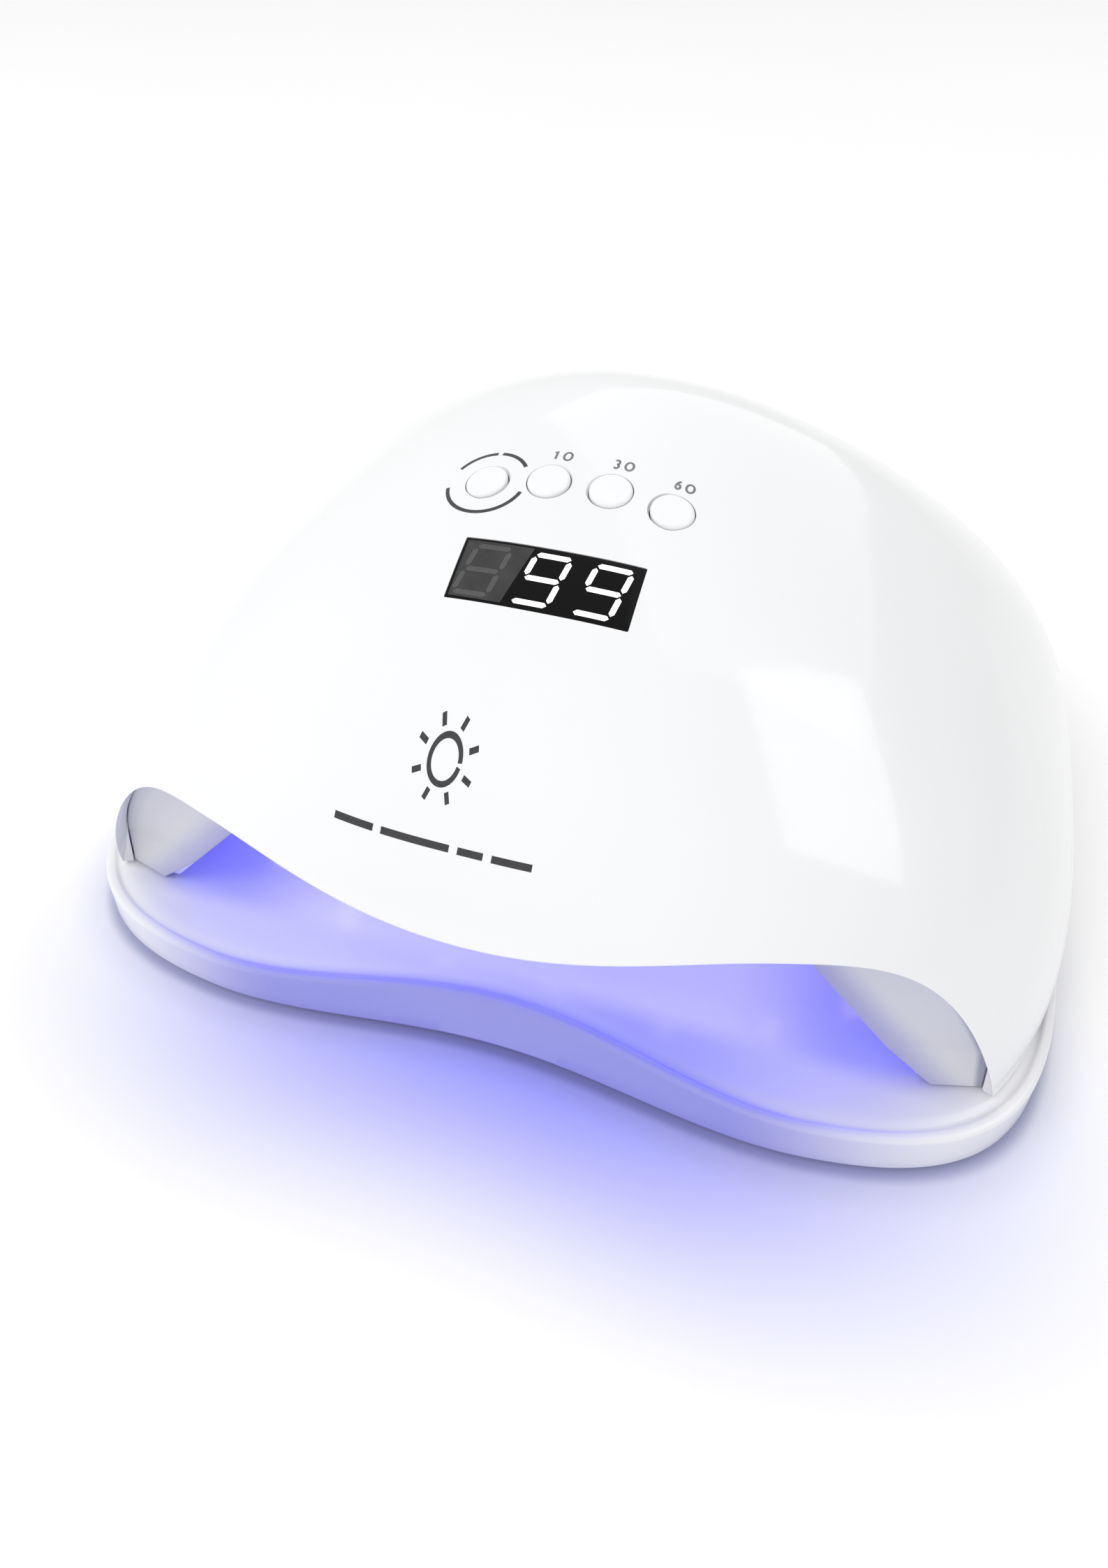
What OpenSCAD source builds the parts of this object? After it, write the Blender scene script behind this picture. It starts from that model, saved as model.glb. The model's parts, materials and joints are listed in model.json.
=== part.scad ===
// Curing lamp: a domed head with a light chamber, on a lift-off base.
// Millimetres. +X is to the right, -Y is the open front, +Z is up, and z = 0 is the table.

/* [Overall] */
// Width across the shell and the base
body_w = 224; // [216:1:232]
// Depth from the visor to the back
body_d = 198; // [192:1:206]
// Height from the table to the crown
body_h = 110; // [106:1:116]

/* [Base] */
// How far the rubber feet stand below the base
foot_proud = 1.2; // [0.8:0.1:2]
// Height of the base's top face
base_top = 12; // [11:0.5:13]
// Depth of the front lobes, from the middle of the dome
base_front = 90.5; // [88:0.5:93]
// How far the front edge is drawn in at the middle
waist = 6.2; // [0:0.1:8]
// Half the width of that waist
waist_half_w = 66; // [60:1:70]
// Squareness of the base's front corners
base_square = 5; // [4:0.1:6]
// Wall thickness of the base
base_t = 2.2; // [1.8:0.1:2.6]

/* [Shell] */
// Wall thickness of the outer shell
shell_t = 2.2; // [1.8:0.1:2.6]
// Gap between the base and the head
seam = 0.3; // [0.2:0.05:0.5]
// Roundness of the crown, as a share of the reach
crown_round = 0.3; // [0.2:0.05:0.4]
// Virtual reach of the front wall, from the middle of the dome
front_reach = 104; // [102:0.5:106]
// Side wall: power on height, power on reach
side_curve = [2, 1.1];
// Front wall: power on height, power on reach
front_curve = [3.4, 1.05];
// Rear wall: power on height, power on reach
rear_curve = [1.7, 1.1];
// Squareness of the front half's outline, at the rim and at the crown
front_square = [3, 2.4];
// Squareness of the rear half's outline, at the rim and at the crown
rear_square = [3.7, 2.2];

/* [Opening] */
// Half the width of the opening at the rim
lip_half_w = 98.5; // [96:0.5:100]
// Height of the lip's shoulders above the rim
lip_rise = 48.5; // [46:0.5:50]
// How far the lip dips between its shoulders
lip_dip = 5; // [0:0.5:7]
// Half the width of that dip
lip_dip_half_w = 52; // [46:1:56]
// Lip curve: power on width, power on height
lip_curve = [6, 1.1];
// Where the light chamber's mouth stands
mouth_y = -72; // [-74:0.5:-70]
// Half the width of the chamber at its floor
chamber_half_w = 84; // [80:1:85]
// Height of the chamber's ceiling above the table
ceiling_z = 56; // [54:0.5:57]
// Lean of the chamber's side walls from level
wall_lean = 47.5; // [46:0.5:50]
// Where the chamber's rear wall stands
chamber_back = 62; // [58:1:64]

/* [Controls] */
// Size of the display window
window_size = [33, 12.8];
// Where the middle of the display window lies
window_y = -50.2; // [-51:0.1:-49]
// Radius of a button
button_r = 4; // [3.5:0.1:4.2]
// Spacing of the buttons
button_pitch = 11.7; // [11.5:0.1:12.5]
// Travel of a button
button_travel = 0.6; // [0.4:0.1:0.8]
// Tilt of the control board
board_tilt = 17; // [15:0.5:19]

/* [Hidden] */
$fn = 48;

// ---- outlines and the dome ----

half_w = body_w / 2;
rear_reach = body_d / 2;
rim_z = base_top + seam;
dome_h = body_h - rim_z;
fit_gap = 0.4;              // between the shell and what lies inside it
outline_step = 3.75;        // degrees between two points of the base's outline

// Share of the reach left at height share h, for a wall with the powers c
function wall_share(c, h) =
    let (k = pow(1 + pow(crown_round, 2), c[1] / 2) - pow(crown_round, c[1]))
    sqrt(max(0, pow((1 - pow(h, c[0])) * k + pow(crown_round, c[1]), 2 / c[1])
                - pow(crown_round, 2)));

// Distance to a unit superellipse of squareness k, in direction a
function square_round(a, k) =
    pow(pow(abs(cos(a)), k) + pow(abs(sin(a)), k), -1 / k);

// Point of the dome in direction a, at height share h, inset by t
function dome(a, h, t = 0) =
    let (front = sin(a) < 0,
         sq = front ? front_square : rear_square,
         q = square_round(a, sq[0] + (sq[1] - sq[0]) * h),
         w = (half_w - t) * wall_share(side_curve, h),
         d = front ? (front_reach - t) * wall_share(front_curve, h)
                   : (rear_reach - t) * wall_share(rear_curve, h))
    [w * q * cos(a), d * q * sin(a), rim_z + (dome_h - t) * h];

// Height of the lip over the front, as seen from the front
function lip_z(x) =
    let (s = min(1, abs(x) / lip_half_w),
         dip = abs(x) < lip_dip_half_w ? pow(cos(90 * x / lip_dip_half_w), 2) : 0)
    rim_z + lip_rise * pow(1 - pow(s, lip_curve[0]), 1 / lip_curve[1]) - lip_dip * dip;

// Height share at which column a leaves the opening
function lip_share(a, t, lo = 0, hi = 0.9, n = 22) =
    n == 0 ? (lo + hi) / 2 :
    let (mid = (lo + hi) / 2, p = dome(a, mid, t))
    p[2] > lip_z(p[0]) ? lip_share(a, t, lo, mid, n - 1) : lip_share(a, t, mid, hi, n - 1);

// Height of the roof over a point near the crown, by halving
function roof_share(x, y, lo = 0.3, hi = 1, n = 26) =
    n == 0 ? (lo + hi) / 2 :
    let (mid = (lo + hi) / 2, front = y < 0,
         sq = front ? front_square : rear_square,
         k = sq[0] + (sq[1] - sq[0]) * mid,
         w = half_w * wall_share(side_curve, mid),
         d = front ? front_reach * wall_share(front_curve, mid)
                   : rear_reach * wall_share(rear_curve, mid))
    pow(abs(x) / w, k) + pow(abs(y) / d, k) < 1 ? roof_share(x, y, mid, hi, n - 1)
                                                : roof_share(x, y, lo, mid, n - 1);
function roof_z(x, y) = rim_z + dome_h * roof_share(x, y);
slope_step = 0.5;           // half the distance over which a slope is taken
function slope_along_y(x, y) =
    atan((roof_z(x, y + slope_step) - roof_z(x, y - slope_step)) / (2 * slope_step));
function slope_along_x(x, y) =
    atan((roof_z(x + slope_step, y) - roof_z(x - slope_step, y)) / (2 * slope_step));

// Direction of the opening's corner at the rim, and the columns of the shell's grid
corner_x = lip_half_w / half_w;
corner_y = pow(1 - pow(corner_x, front_square[0]), 1 / front_square[0]);
open_half = 90 - atan(corner_y / corner_x);
open_columns = 18;          // columns on each side of the opening's middle
rest_columns = 46;          // columns around the sides and the back
shell_rows = 18;            // rows from the rim to the crown
function open_angle(i) = -90 + open_half * sin(90 * i / open_columns);
columns = concat(
    [for (i = [-open_columns : open_columns]) open_angle(i)],
    [for (i = [1 : rest_columns - 1])
        -90 + open_half + i * (360 - 2 * open_half) / rest_columns]);
function is_open(i) = i > 0 && i < 2 * open_columns;
function start_share(i, t) = is_open(i) ? lip_share(columns[i], t) : 0;
function shell_ring(j, t) =
    [for (i = [0 : len(columns) - 1])
        let (s = start_share(i, t)) dome(columns[i], s + (1 - s) * sin(90 * j / shell_rows), t)];

// Base outline, inset by t: square-cornered and waisted in front, as the dome behind
function base_outline(t) =
    [for (a = [0 : outline_step : 360 - outline_step])
        let (front = sin(a) < 0,
             q = square_round(a, front ? base_square : rear_square[0]),
             x = (half_w - t) * q * cos(a),
             y = ((front ? base_front : rear_reach) - t) * q * sin(a),
             pull = front && abs(x) < waist_half_w ? waist * pow(cos(90 * x / waist_half_w), 2) : 0)
        [x, y + pull]];

// Outline inside the dome, inset by t, at the height of the underside frame's top
function rim_outline(t) = [for (a = columns) let (p = dome(a, frame_t / dome_h, t)) [p[0], p[1]]];

// Chamber outline in the XZ plane, from the right floor to the left, grown by t
ceiling_h = ceiling_z - rim_z;
chamber_round = 12;
corner_steps = 6;
wall_reach = chamber_half_w * sin(wall_lean);     // from the floor's middle, square to a wall
corner_centre = [(wall_reach - chamber_round - cos(wall_lean) * (ceiling_h - chamber_round))
                 / sin(wall_lean), ceiling_h - chamber_round];
function chamber_half(t) = concat(
    [[(wall_reach + t) / sin(wall_lean), 0]],
    [for (i = [0 : corner_steps])
        let (a = 90 - wall_lean + wall_lean * i / corner_steps)
        corner_centre + (chamber_round + t) * [cos(a), sin(a)]]);
function flipped(pts) = [for (i = [len(pts) - 1 : -1 : 0]) [-pts[i][0], pts[i][1]]];
function chamber_outline(t) = concat(chamber_half(t), flipped(chamber_half(t)));

// Point of an open outline in direction a from the origin
function outline_hit(pts, a) =
    let (d = [cos(a), sin(a)],
         hits = [for (i = [0 : len(pts) - 2])
             let (e = pts[i + 1] - pts[i], den = cross(d, e),
                  along = abs(den) < 1e-9 ? -1 : cross(pts[i], d) / den,
                  far = abs(den) < 1e-9 ? 0 : cross(pts[i], e) / den)
             if (along >= -1e-6 && along <= 1 + 1e-6 && far > 0) far])
    max(hits) * d;

// ---- general builders ----

// Closed skin over a list of rings, with a point at each end or a flat end (undef)
module skin(rings, first = undef, last = undef) {
    n = len(rings[0]);
    m = len(rings);
    ring_points = [for (r = rings) each r];
    ends = concat(is_undef(first) ? [] : [first], is_undef(last) ? [] : [last]);
    lo = n * m;
    hi = lo + (is_undef(first) ? 0 : 1);
    sides = [for (j = [0 : m - 2], i = [0 : n - 1])
        let (k = (i + 1) % n, a = j * n, b = (j + 1) * n)
        each [[a + i, b + i, b + k], [a + i, b + k, a + k]]];
    start = is_undef(first) ? [[for (i = [0 : n - 1]) i]]
                            : [for (i = [0 : n - 1]) [lo, i, (i + 1) % n]];
    top = (m - 1) * n;
    finish = is_undef(last) ? [[for (i = [n - 1 : -1 : 0]) top + i]]
                            : [for (i = [0 : n - 1]) [hi, top + (i + 1) % n, top + i]];
    polyhedron(concat(ring_points, ends), concat(sides, start, finish), convexity = 8);
}

// Flat plate with an outline, between two heights
module plate(outline, z0, z1) {
    translate([0, 0, z0]) linear_extrude(z1 - z0) polygon(outline);
}

// Rectangle with round corners, standing on z = 0
function round_rect(w, d, r) =
    [for (q = [0 : 3], i = [0 : 4])
        let (sx = q == 0 || q == 3 ? 1 : -1, sy = q < 2 ? 1 : -1, a = 90 * q + 90 * i / 4)
        [sx * (w / 2 - r), sy * (d / 2 - r)] + r * [cos(a), sin(a)]];
module slab(w, d, h, r) {
    linear_extrude(h) polygon(round_rect(w, d, r));
}

// Cylinder between two heights
module post(r, z0, z1) {
    translate([0, 0, z0]) cylinder(r = r, h = z1 - z0);
}

module at_each(places) {
    for (p = places) translate([p[0], p[1], 0]) children();
}

// The same children on the right and on the left
module both_sides() {
    children();
    mirror([1, 0, 0]) children();
}

// Screw standing head down, its head's outer face on z = 0
screw_head_r = 2.7;
screw_head_h = 1.4;
screw_r = 1.3;
pilot_r = 1.35;
module screw(length) {
    difference() {
        cylinder(r = screw_head_r, h = screw_head_h);
        translate([-1.8, -0.3, -0.1]) cube([3.6, 0.6, 0.8]);
        translate([-0.3, -1.8, -0.1]) cube([0.6, 3.6, 0.8]);
    }
    post(screw_r, screw_head_h, length);
}

// Round wire swept along a smooth line through the given points
wire_sides = 8;
wire_steps = 3;
function bend(p, i, t) =
    let (a = p[max(i - 1, 0)], b = p[i], c = p[i + 1], d = p[min(i + 2, len(p) - 1)])
    0.5 * (2 * b + (c - a) * t + (2 * a - 5 * b + 4 * c - d) * t * t
           + (3 * b - a - 3 * c + d) * t * t * t);
function smooth(p) = concat(
    [for (i = [0 : len(p) - 2], s = [0 : wire_steps - 1]) bend(p, i, s / wire_steps)],
    [p[len(p) - 1]]);
function unit(v) = v / norm(v);
module wire(places, r) {
    line = smooth(places);
    n = len(line);
    rings = [for (i = [0 : n - 1])
        let (t = unit(line[min(i + 1, n - 1)] - line[max(i - 1, 0)]),
             u = unit(cross([1, 0.2, 0.1], t)), v = cross(t, u))
        [for (k = [0 : wire_sides - 1])
            line[i] + r * (u * cos(360 * k / wire_sides) + v * sin(360 * k / wire_sides))]];
    skin(rings);
}

// ---- places ----

base_bottom = foot_proud;
base_floor = base_bottom + 2;               // top of the bottom plate
cover_t = 2.4;                              // thickness of the base's top
frame_t = 3;                                // thickness of the head's underside frame
frame_top = rim_z + frame_t;
magnet_r = 5;
magnet_h = 1.6;
magnet_places = [[97.5, -48], [97.5, 52], [-97.5, -48], [-97.5, 52], [22, 82], [-22, 82]];
peg_r = 2.5;
peg_top = base_top + 2.4;
peg_foot = base_top - 1.6;
peg_places = [[98, 2], [-98, 2]];
foot_r = 7;
foot_h = 2.4;
foot_places = [[82, -68], [-82, -68], [82, 72], [-82, 72]];
base_screw_places = [[98, -62], [-98, -62], [0, -70], [96, 60], [-96, 60], [0, 86]];
shell_boss_places = [[106.2, -25], [-106.2, -25], [106.2, 30], [-106.2, 30], [52, 92], [-52, 92]];
shell_boss_r = 3.6;
shell_boss_top = frame_top + 9;
reflector_boss_places = [[91, -58], [-91, -58], [91, 20], [-91, 20], [60, 70], [-60, 70]];
reflector_boss_top = frame_top + 7;
screw_sink = 0.4;                           // how deep a screw head sits

// Control board's own frame: its plane touches the roof over board_y
board_y = -38;
board_z = roof_z(0, board_y);
board_drop = 12.5;                          // roof to the board's top face
board_t = 1.6;
board_size = [66, 40];
module on_board_plane() {
    translate([0, board_y, board_z]) rotate([board_tilt, 0, 0]) children();
}
button_rows = [-30.8, -29.8, -29.8, -30.8];
function button_x(i) = (i - 1.5) * button_pitch;
function to_board(x, y) =
    let (dy = y - board_y, dz = roof_z(x, y) - board_z)
    [x, dy * cos(board_tilt) + dz * sin(board_tilt), dz * cos(board_tilt) - dy * sin(board_tilt)];
function button_place(i) = to_board(button_x(i), button_rows[i]);
button_gap = 0.3;
button_proud = 0.5;
flange_r = 5.1;
flange_top = -5.7;
flange_h = 0.8;
stem_r = 1.5;
plunger_top = -9.2;
plunger_low = -11.2;
switch_top = -9.9;
switch_size = 6;
switch_hole_r = 1.8;
board_post_places = [[-29, -15], [29, -15], [-29, 15], [29, 15]];
board_post_r = 2.8;

// Frame that touches the roof over a point and follows its slopes
module on_roof(x, y) {
    translate([x, y, roof_z(x, y)])
        rotate([slope_along_y(x, y), 0, 0]) rotate([0, -slope_along_x(x, y), 0]) children();
}

// Frame in the middle of a side wall of the chamber, +Z away from the chamber
wall_mid = [(wall_reach - cos(wall_lean) * ceiling_h / 2) / sin(wall_lean), ceiling_h / 2];
module on_wall() {
    translate([wall_mid[0], 0, rim_z + wall_mid[1]]) rotate([0, wall_lean, 0]) children();
}
module on_ceiling() {
    translate([0, 0, ceiling_z]) children();
}
module on_rear_wall() {
    translate([0, chamber_back, rim_z + 22]) rotate([-90, 0, 0]) children();
}
reflector_t = 1.6;
led_r = 2.6;
led_hole_r = 3.1;
led_board_gap = 0.3;
led_board_t = 1.2;
led_board_z = reflector_t + led_board_gap;
top_led_places = [for (x = [-30, 0, 30], y = [-48, -24, 0, 24, 48]) [x, y]];
wall_led_places = [for (x = [-12, 12], y = [-48, -16, 16, 48]) [x, y]];
rear_led_places = [for (x = [-48, -24, 0, 24, 48]) [x, 0]];
top_board_size = [74, 112];
wall_board_size = [36, 112];
rear_board_size = [112, 18];
sensor_places = [[-14, -61], [14, -61]];
sensor_r = 2.4;

// Power inlet at the back
jack_z = 26;
jack_y = rear_reach - 1.8;                  // flat face that the flange seats on
jack_boss_r = 8.8;
jack_boss_t = 6.6;
jack_flange_r = 7.2;
jack_r = 5.4;
jack_bore_r = 2.8;
jack_bore_depth = 10;
jack_pin_r = 1.05;
module on_jack() {
    translate([0, jack_y, jack_z]) rotate([-90, 0, 0]) children();
}
vent_places = [for (s = [-1, 1], i = [0 : 3]) s * (26 + 8 * i)];

// ---- base ----

module base_cover() {
    color("white") difference() {
        union() {
            plate(base_outline(0), base_bottom, base_top - 1);
            plate(base_outline(0.6), base_top - 1, base_top);
        }
        difference() {
            plate(base_outline(base_t), base_bottom - 1, base_top - cover_t);
            at_each(base_screw_places) post(shell_boss_r, base_floor, base_top);
        }
        at_each(base_screw_places) post(pilot_r, base_bottom, base_top - cover_t + 0.4);
        at_each(magnet_places) post(magnet_r + 0.1, base_top - magnet_h, base_top + 1);
        at_each(peg_places) post(peg_r + 0.05, peg_foot, base_top + 1);
    }
}

module base_plate() {
    color("whitesmoke") difference() {
        plate(base_outline(base_t + 0.2), base_bottom, base_floor);
        at_each(foot_places) post(foot_r + 0.1, base_bottom - 1, base_bottom + foot_h - foot_proud);
        at_each(base_screw_places) {
            post(screw_r + 0.3, base_bottom - 1, base_floor + 1);
            post(screw_head_r + 0.3, base_bottom - 1, base_bottom + screw_head_h + 0.2);
        }
    }
}

module base_feet() {
    color("dimgray") at_each(foot_places) {
        post(foot_r - 0.4, 0, 0.4);
        post(foot_r, 0.4, foot_h);
    }
}

module base_screws() {
    color("silver") at_each(base_screw_places)
        translate([0, 0, base_bottom + 0.2]) screw(base_top - cover_t - base_bottom - 0.4);
}

module base_discs() {
    color("gray") at_each(magnet_places) post(magnet_r, base_top - magnet_h, base_top);
}

module locating_pegs() {
    color("silver") at_each(peg_places) {
        post(peg_r, peg_foot, peg_top - 0.6);
        translate([0, 0, peg_top - 0.6]) cylinder(r1 = peg_r, r2 = peg_r - 0.6, h = 0.6);
    }
}

// ---- head: casing ----

module shell_body() {
    rings = concat([for (j = [shell_rows - 1 : -1 : 0]) shell_ring(j, shell_t)],
                   [for (j = [0 : shell_rows - 1]) shell_ring(j, 0)]);
    skin(rings, [0, 0, body_h - shell_t], [0, 0, body_h]);
}

module board_posts() {
    on_board_plane() for (p = board_post_places) {
        top = to_board(p[0], board_y + p[1])[2];
        translate([p[0], p[1], 0]) post(board_post_r, -board_drop, top - shell_t / 2 - 0.3);
    }
}

module top_shell() {
    color("white") difference() {
        union() {
            shell_body();
            board_posts();
            at_each(shell_boss_places) post(shell_boss_r, frame_top, shell_boss_top);
            on_jack() post(jack_boss_r, -jack_boss_t, 0);
        }
        at_each(shell_boss_places) post(pilot_r, frame_top - 1, shell_boss_top - 1);
        on_board_plane() {
            for (p = board_post_places)
                translate([p[0], p[1], 0]) post(pilot_r, -board_drop - 1, -board_drop + 5);
            for (i = [0 : 3])
                translate([button_place(i)[0], button_place(i)[1], 0])
                    post(button_r + button_gap, flange_top, 3);
        }
        on_roof(0, window_y) translate([0, 0, -5])
            slab(window_size[0] + 0.4, window_size[1] + 0.4, 9, 1);
        on_jack() {
            post(jack_r + 0.1, -jack_boss_t - 1, 6);
            post(jack_flange_r + 0.2, 0, 6);
        }
        for (x = vent_places) translate([x, rear_reach - 14, 34]) rotate([-90, 0, 0])
            slab(3, 14, 20, 1.4);
    }
}

// Panel between the lip and the chamber's mouth: cheeks at the sides, soffit over the hand
bezel_t = 1.2;
bezel_edge = shell_t + fit_gap;
module mouth_bezel() {
    outline = chamber_outline(0);
    lip = [for (i = [0 : 2 * open_columns])
        let (s = i == 0 || i == 2 * open_columns ? 0 : lip_share(open_angle(i - open_columns), bezel_edge))
        dome(open_angle(i - open_columns), s, bezel_edge)];
    mouth = [for (p = lip)
        let (q = outline_hit(outline, atan2(max(0, p[2] - rim_z), p[0]))) [q[0], mouth_y, rim_z + q[1]]];
    back = [0, bezel_t, bezel_t];
    rows = 3;
    front_row = [for (j = [0 : rows]) [for (i = [0 : len(lip) - 1])
        mouth[i] + (lip[i] - mouth[i]) * j / rows]];
    rings = concat([for (r = front_row) r], [for (j = [rows : -1 : 0]) [for (p = front_row[j]) p + back]]);
    n = len(lip);
    m = len(rings);
    color("gainsboro") polyhedron(
        [for (r = rings) each r],
        concat([for (j = [0 : m - 1], i = [0 : n - 2])
                   let (a = j * n, b = ((j + 1) % m) * n)
                   each [[a + i, b + i, b + i + 1], [a + i, b + i + 1, a + i + 1]]],
               [for (j = [0 : rows - 1]) let (o = m - 1 - j)
                   each [[j * n, o * n, (o - 1) * n], [j * n, (o - 1) * n, (j + 1) * n]]],
               [for (j = [0 : rows - 1]) let (o = m - 1 - j, e = n - 1)
                   each [[j * n + e, (o - 1) * n + e, o * n + e], [j * n + e, (j + 1) * n + e, (o - 1) * n + e]]]),
        convexity = 8);
}

module reflector_skin(y0, y1, t) {
    translate([0, y1, rim_z]) rotate([90, 0, 0]) linear_extrude(y1 - y0) polygon(chamber_outline(t));
}

module reflector() {
    flange = [rim_z + frame_t, rim_z + frame_t + reflector_t];
    color("aliceblue") difference() {
        union() {
            difference() {
                reflector_skin(mouth_y + bezel_t + 0.8, chamber_back + reflector_t, reflector_t);
                reflector_skin(mouth_y - 1, chamber_back, 0);
            }
            both_sides() translate([chamber_half_w - 1.4, -64, flange[0]])
                cube([13, 64 + chamber_back + reflector_t, reflector_t]);
            translate([-70, chamber_back + 0.6, flange[0]]) cube([140, 13, reflector_t]);
            at_each(reflector_boss_places) post(3.2, flange[0], reflector_boss_top);
        }
        at_each(reflector_boss_places) post(pilot_r, flange[0] - 1, reflector_boss_top - 1);
        on_ceiling() at_each(top_led_places) post(led_hole_r, -1, 4);
        on_ceiling() at_each(sensor_places) post(sensor_r + 0.1, -1, 4);
        both_sides() on_wall() at_each(wall_led_places) post(led_hole_r, -1, 4);
        on_rear_wall() at_each(rear_led_places) post(led_hole_r, -1, 4);
    }
}

module underside_frame() {
    inner_w = 2 * (chamber_half_w + reflector_t / sin(wall_lean) + 0.5);
    front = dome(-90 + open_half, 0, bezel_edge)[1] + bezel_t + 0.3;
    color("whitesmoke") difference() {
        plate(rim_outline(shell_t + 0.6), rim_z, frame_top);
        translate([-half_w, front - body_d, rim_z - 1]) cube([body_w, body_d, frame_t + 2]);
        translate([-inner_w / 2, front - 1, rim_z - 1])
            cube([inner_w, chamber_back + reflector_t + 0.4 - front + 1, frame_t + 2]);
        at_each(magnet_places) post(magnet_r + 0.1, rim_z - 1, rim_z + magnet_h);
        at_each(peg_places) post(peg_r + 0.3, rim_z - 1, frame_top + 1);
        at_each(concat(shell_boss_places, reflector_boss_places)) {
            post(screw_r + 0.2, rim_z - 1, frame_top + 1);
            post(screw_head_r + 0.2, rim_z - 1, rim_z + screw_sink + screw_head_h + 0.1);
        }
    }
}

module head_magnets() {
    color("silver") at_each(magnet_places) post(magnet_r, rim_z, rim_z + magnet_h);
}

module shell_screws() {
    color("silver") at_each(shell_boss_places) translate([0, 0, rim_z + screw_sink]) screw(9);
}

module reflector_screws() {
    color("silver") at_each(reflector_boss_places) translate([0, 0, rim_z + screw_sink]) screw(8);
}

// ---- head: controls ----

// Curved pane that follows the roof across the display
pane_t = 1.8;
pane_sag = roof_z(0, window_y) - roof_z(window_size[0] / 2, window_y);
pane_r = (pow(window_size[0] / 2, 2) + pow(pane_sag, 2)) / (2 * pane_sag);
module display_window() {
    color("black", 0.8) on_roof(0, window_y) intersection() {
        translate([0, 0, -5]) slab(window_size[0], window_size[1], 9, 0.8);
        translate([0, 20, -pane_r]) rotate([90, 0, 0]) difference() {
            cylinder(r = pane_r, h = 40, $fn = 180);
            translate([0, 0, -1]) cylinder(r = pane_r - pane_t, h = 42, $fn = 180);
        }
    }
}

display_size = [36, 15.4, 6.6];
module display_module() {
    color("black") on_board_plane() translate([0, -13, -board_drop])
        slab(display_size[0], display_size[1], display_size[2], 0.6);
}

module control_board() {
    color("green") on_board_plane() difference() {
        translate([0, -1, -board_drop - board_t]) slab(board_size[0], board_size[1], board_t, 2);
        for (p = board_post_places)
            translate([p[0], p[1], 0]) post(screw_r + 0.2, -board_drop - board_t - 1, -board_drop + 1);
    }
}

module control_chips() {
    under = -board_drop - board_t;
    color("dimgray") on_board_plane() {
        translate([-8, -6, under - 1.6]) slab(10, 6, 1.6, 0.3);
        translate([9, -6, under - 1.5]) slab(7, 5, 1.5, 0.3);
        translate([-20, 4, 0]) post(4, under - 9, under);
        translate([20, -8, under - 6]) slab(9, 6, 6, 0.4);
        translate([12, 9, under - 5]) slab(16, 5, 5, 0.4);
    }
}

module board_screws() {
    color("silver") on_board_plane() for (p = board_post_places)
        translate([p[0], p[1], -board_drop - board_t - screw_head_h]) screw(6.5);
}

module button_switches() {
    color("dimgray") on_board_plane() for (i = [0 : 3])
        translate([button_place(i)[0], button_place(i)[1], 0]) difference() {
            translate([0, 0, -board_drop]) slab(switch_size, switch_size, board_drop + switch_top, 0.5);
            post(switch_hole_r, -board_drop + 0.5, switch_top + 1);
        }
}

// Key cap cut to the slope of the roof, with a retaining flange and a stem
module button(i) {
    color("white") difference() {
        on_board_plane() translate([button_place(i)[0], button_place(i)[1], 0]) {
            post(button_r, flange_top - flange_h / 2, 3);
            post(flange_r, flange_top - flange_h, flange_top);
            post(stem_r, plunger_top, flange_top);
        }
        on_roof(button_x(i), button_rows[i]) translate([-8, -8, button_proud]) cube([16, 16, 8]);
    }
}
module power_button() button(0);
module timer_button_1() button(1);
module timer_button_2() button(2);
module timer_button_3() button(3);

module plunger(i) {
    color("saddlebrown") on_board_plane()
        translate([button_place(i)[0], button_place(i)[1], 0]) post(stem_r, plunger_low, plunger_top);
}
module power_plunger() plunger(0);
module timer_plunger_1() plunger(1);
module timer_plunger_2() plunger(2);
module timer_plunger_3() plunger(3);

// ---- head: lights ----

module led_board(size, places) {
    translate([0, 0, led_board_z]) slab(size[0], size[1], led_board_t, 2);
}
module led_board_top() {
    color("lightgray") on_ceiling() difference() {
        led_board(top_board_size);
        at_each(sensor_places) post(sensor_r + 0.3, 0, 6);
    }
}
module led_board_right() color("lightgray") on_wall() led_board(wall_board_size);
module led_board_left() mirror([1, 0, 0]) led_board_right();
module led_board_rear() color("lightgray") on_rear_wall() led_board(rear_board_size);

// Clear lens over one light chip, hanging into the chamber
led_drop = 0.4;
module led() {
    post(led_r, -led_drop, led_board_z);
    translate([0, 0, -led_drop]) intersection() {
        sphere(r = led_r);
        translate([0, 0, -led_r]) cylinder(r = led_r + 1, h = led_r + 0.2);
    }
}
module leds_top() color("plum") on_ceiling() at_each(top_led_places) led();
module leds_right() color("plum") on_wall() at_each(wall_led_places) led();
module leds_left() mirror([1, 0, 0]) leds_right();
module leds_rear() color("plum") on_rear_wall() at_each(rear_led_places) led();

module hand_sensors() {
    color("black") on_ceiling() at_each(sensor_places) post(sensor_r, -1, 8);
}

// ---- head: power ----

module dc_jack() {
    color("black") on_jack() difference() {
        union() {
            post(jack_flange_r, 0.05, 1.5);
            post(jack_r, -12, 0.3);
            translate([0, 0, -15]) slab(10, 9, 4, 0.5);
        }
        post(jack_bore_r, 1.5 - jack_bore_depth, 3);
        post(jack_pin_r, -12, 3);
    }
}

module dc_contact_pin() {
    color("silver") on_jack() post(jack_pin_r, -12, 0.4);
}

module dc_jack_nut() {
    color("silver") on_jack() difference() {
        translate([0, 0, -jack_boss_t - 2.3]) cylinder(r = 8, h = 2.2, $fn = 6);
        post(jack_r + 0.05, -10, 0);
    }
}

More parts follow.
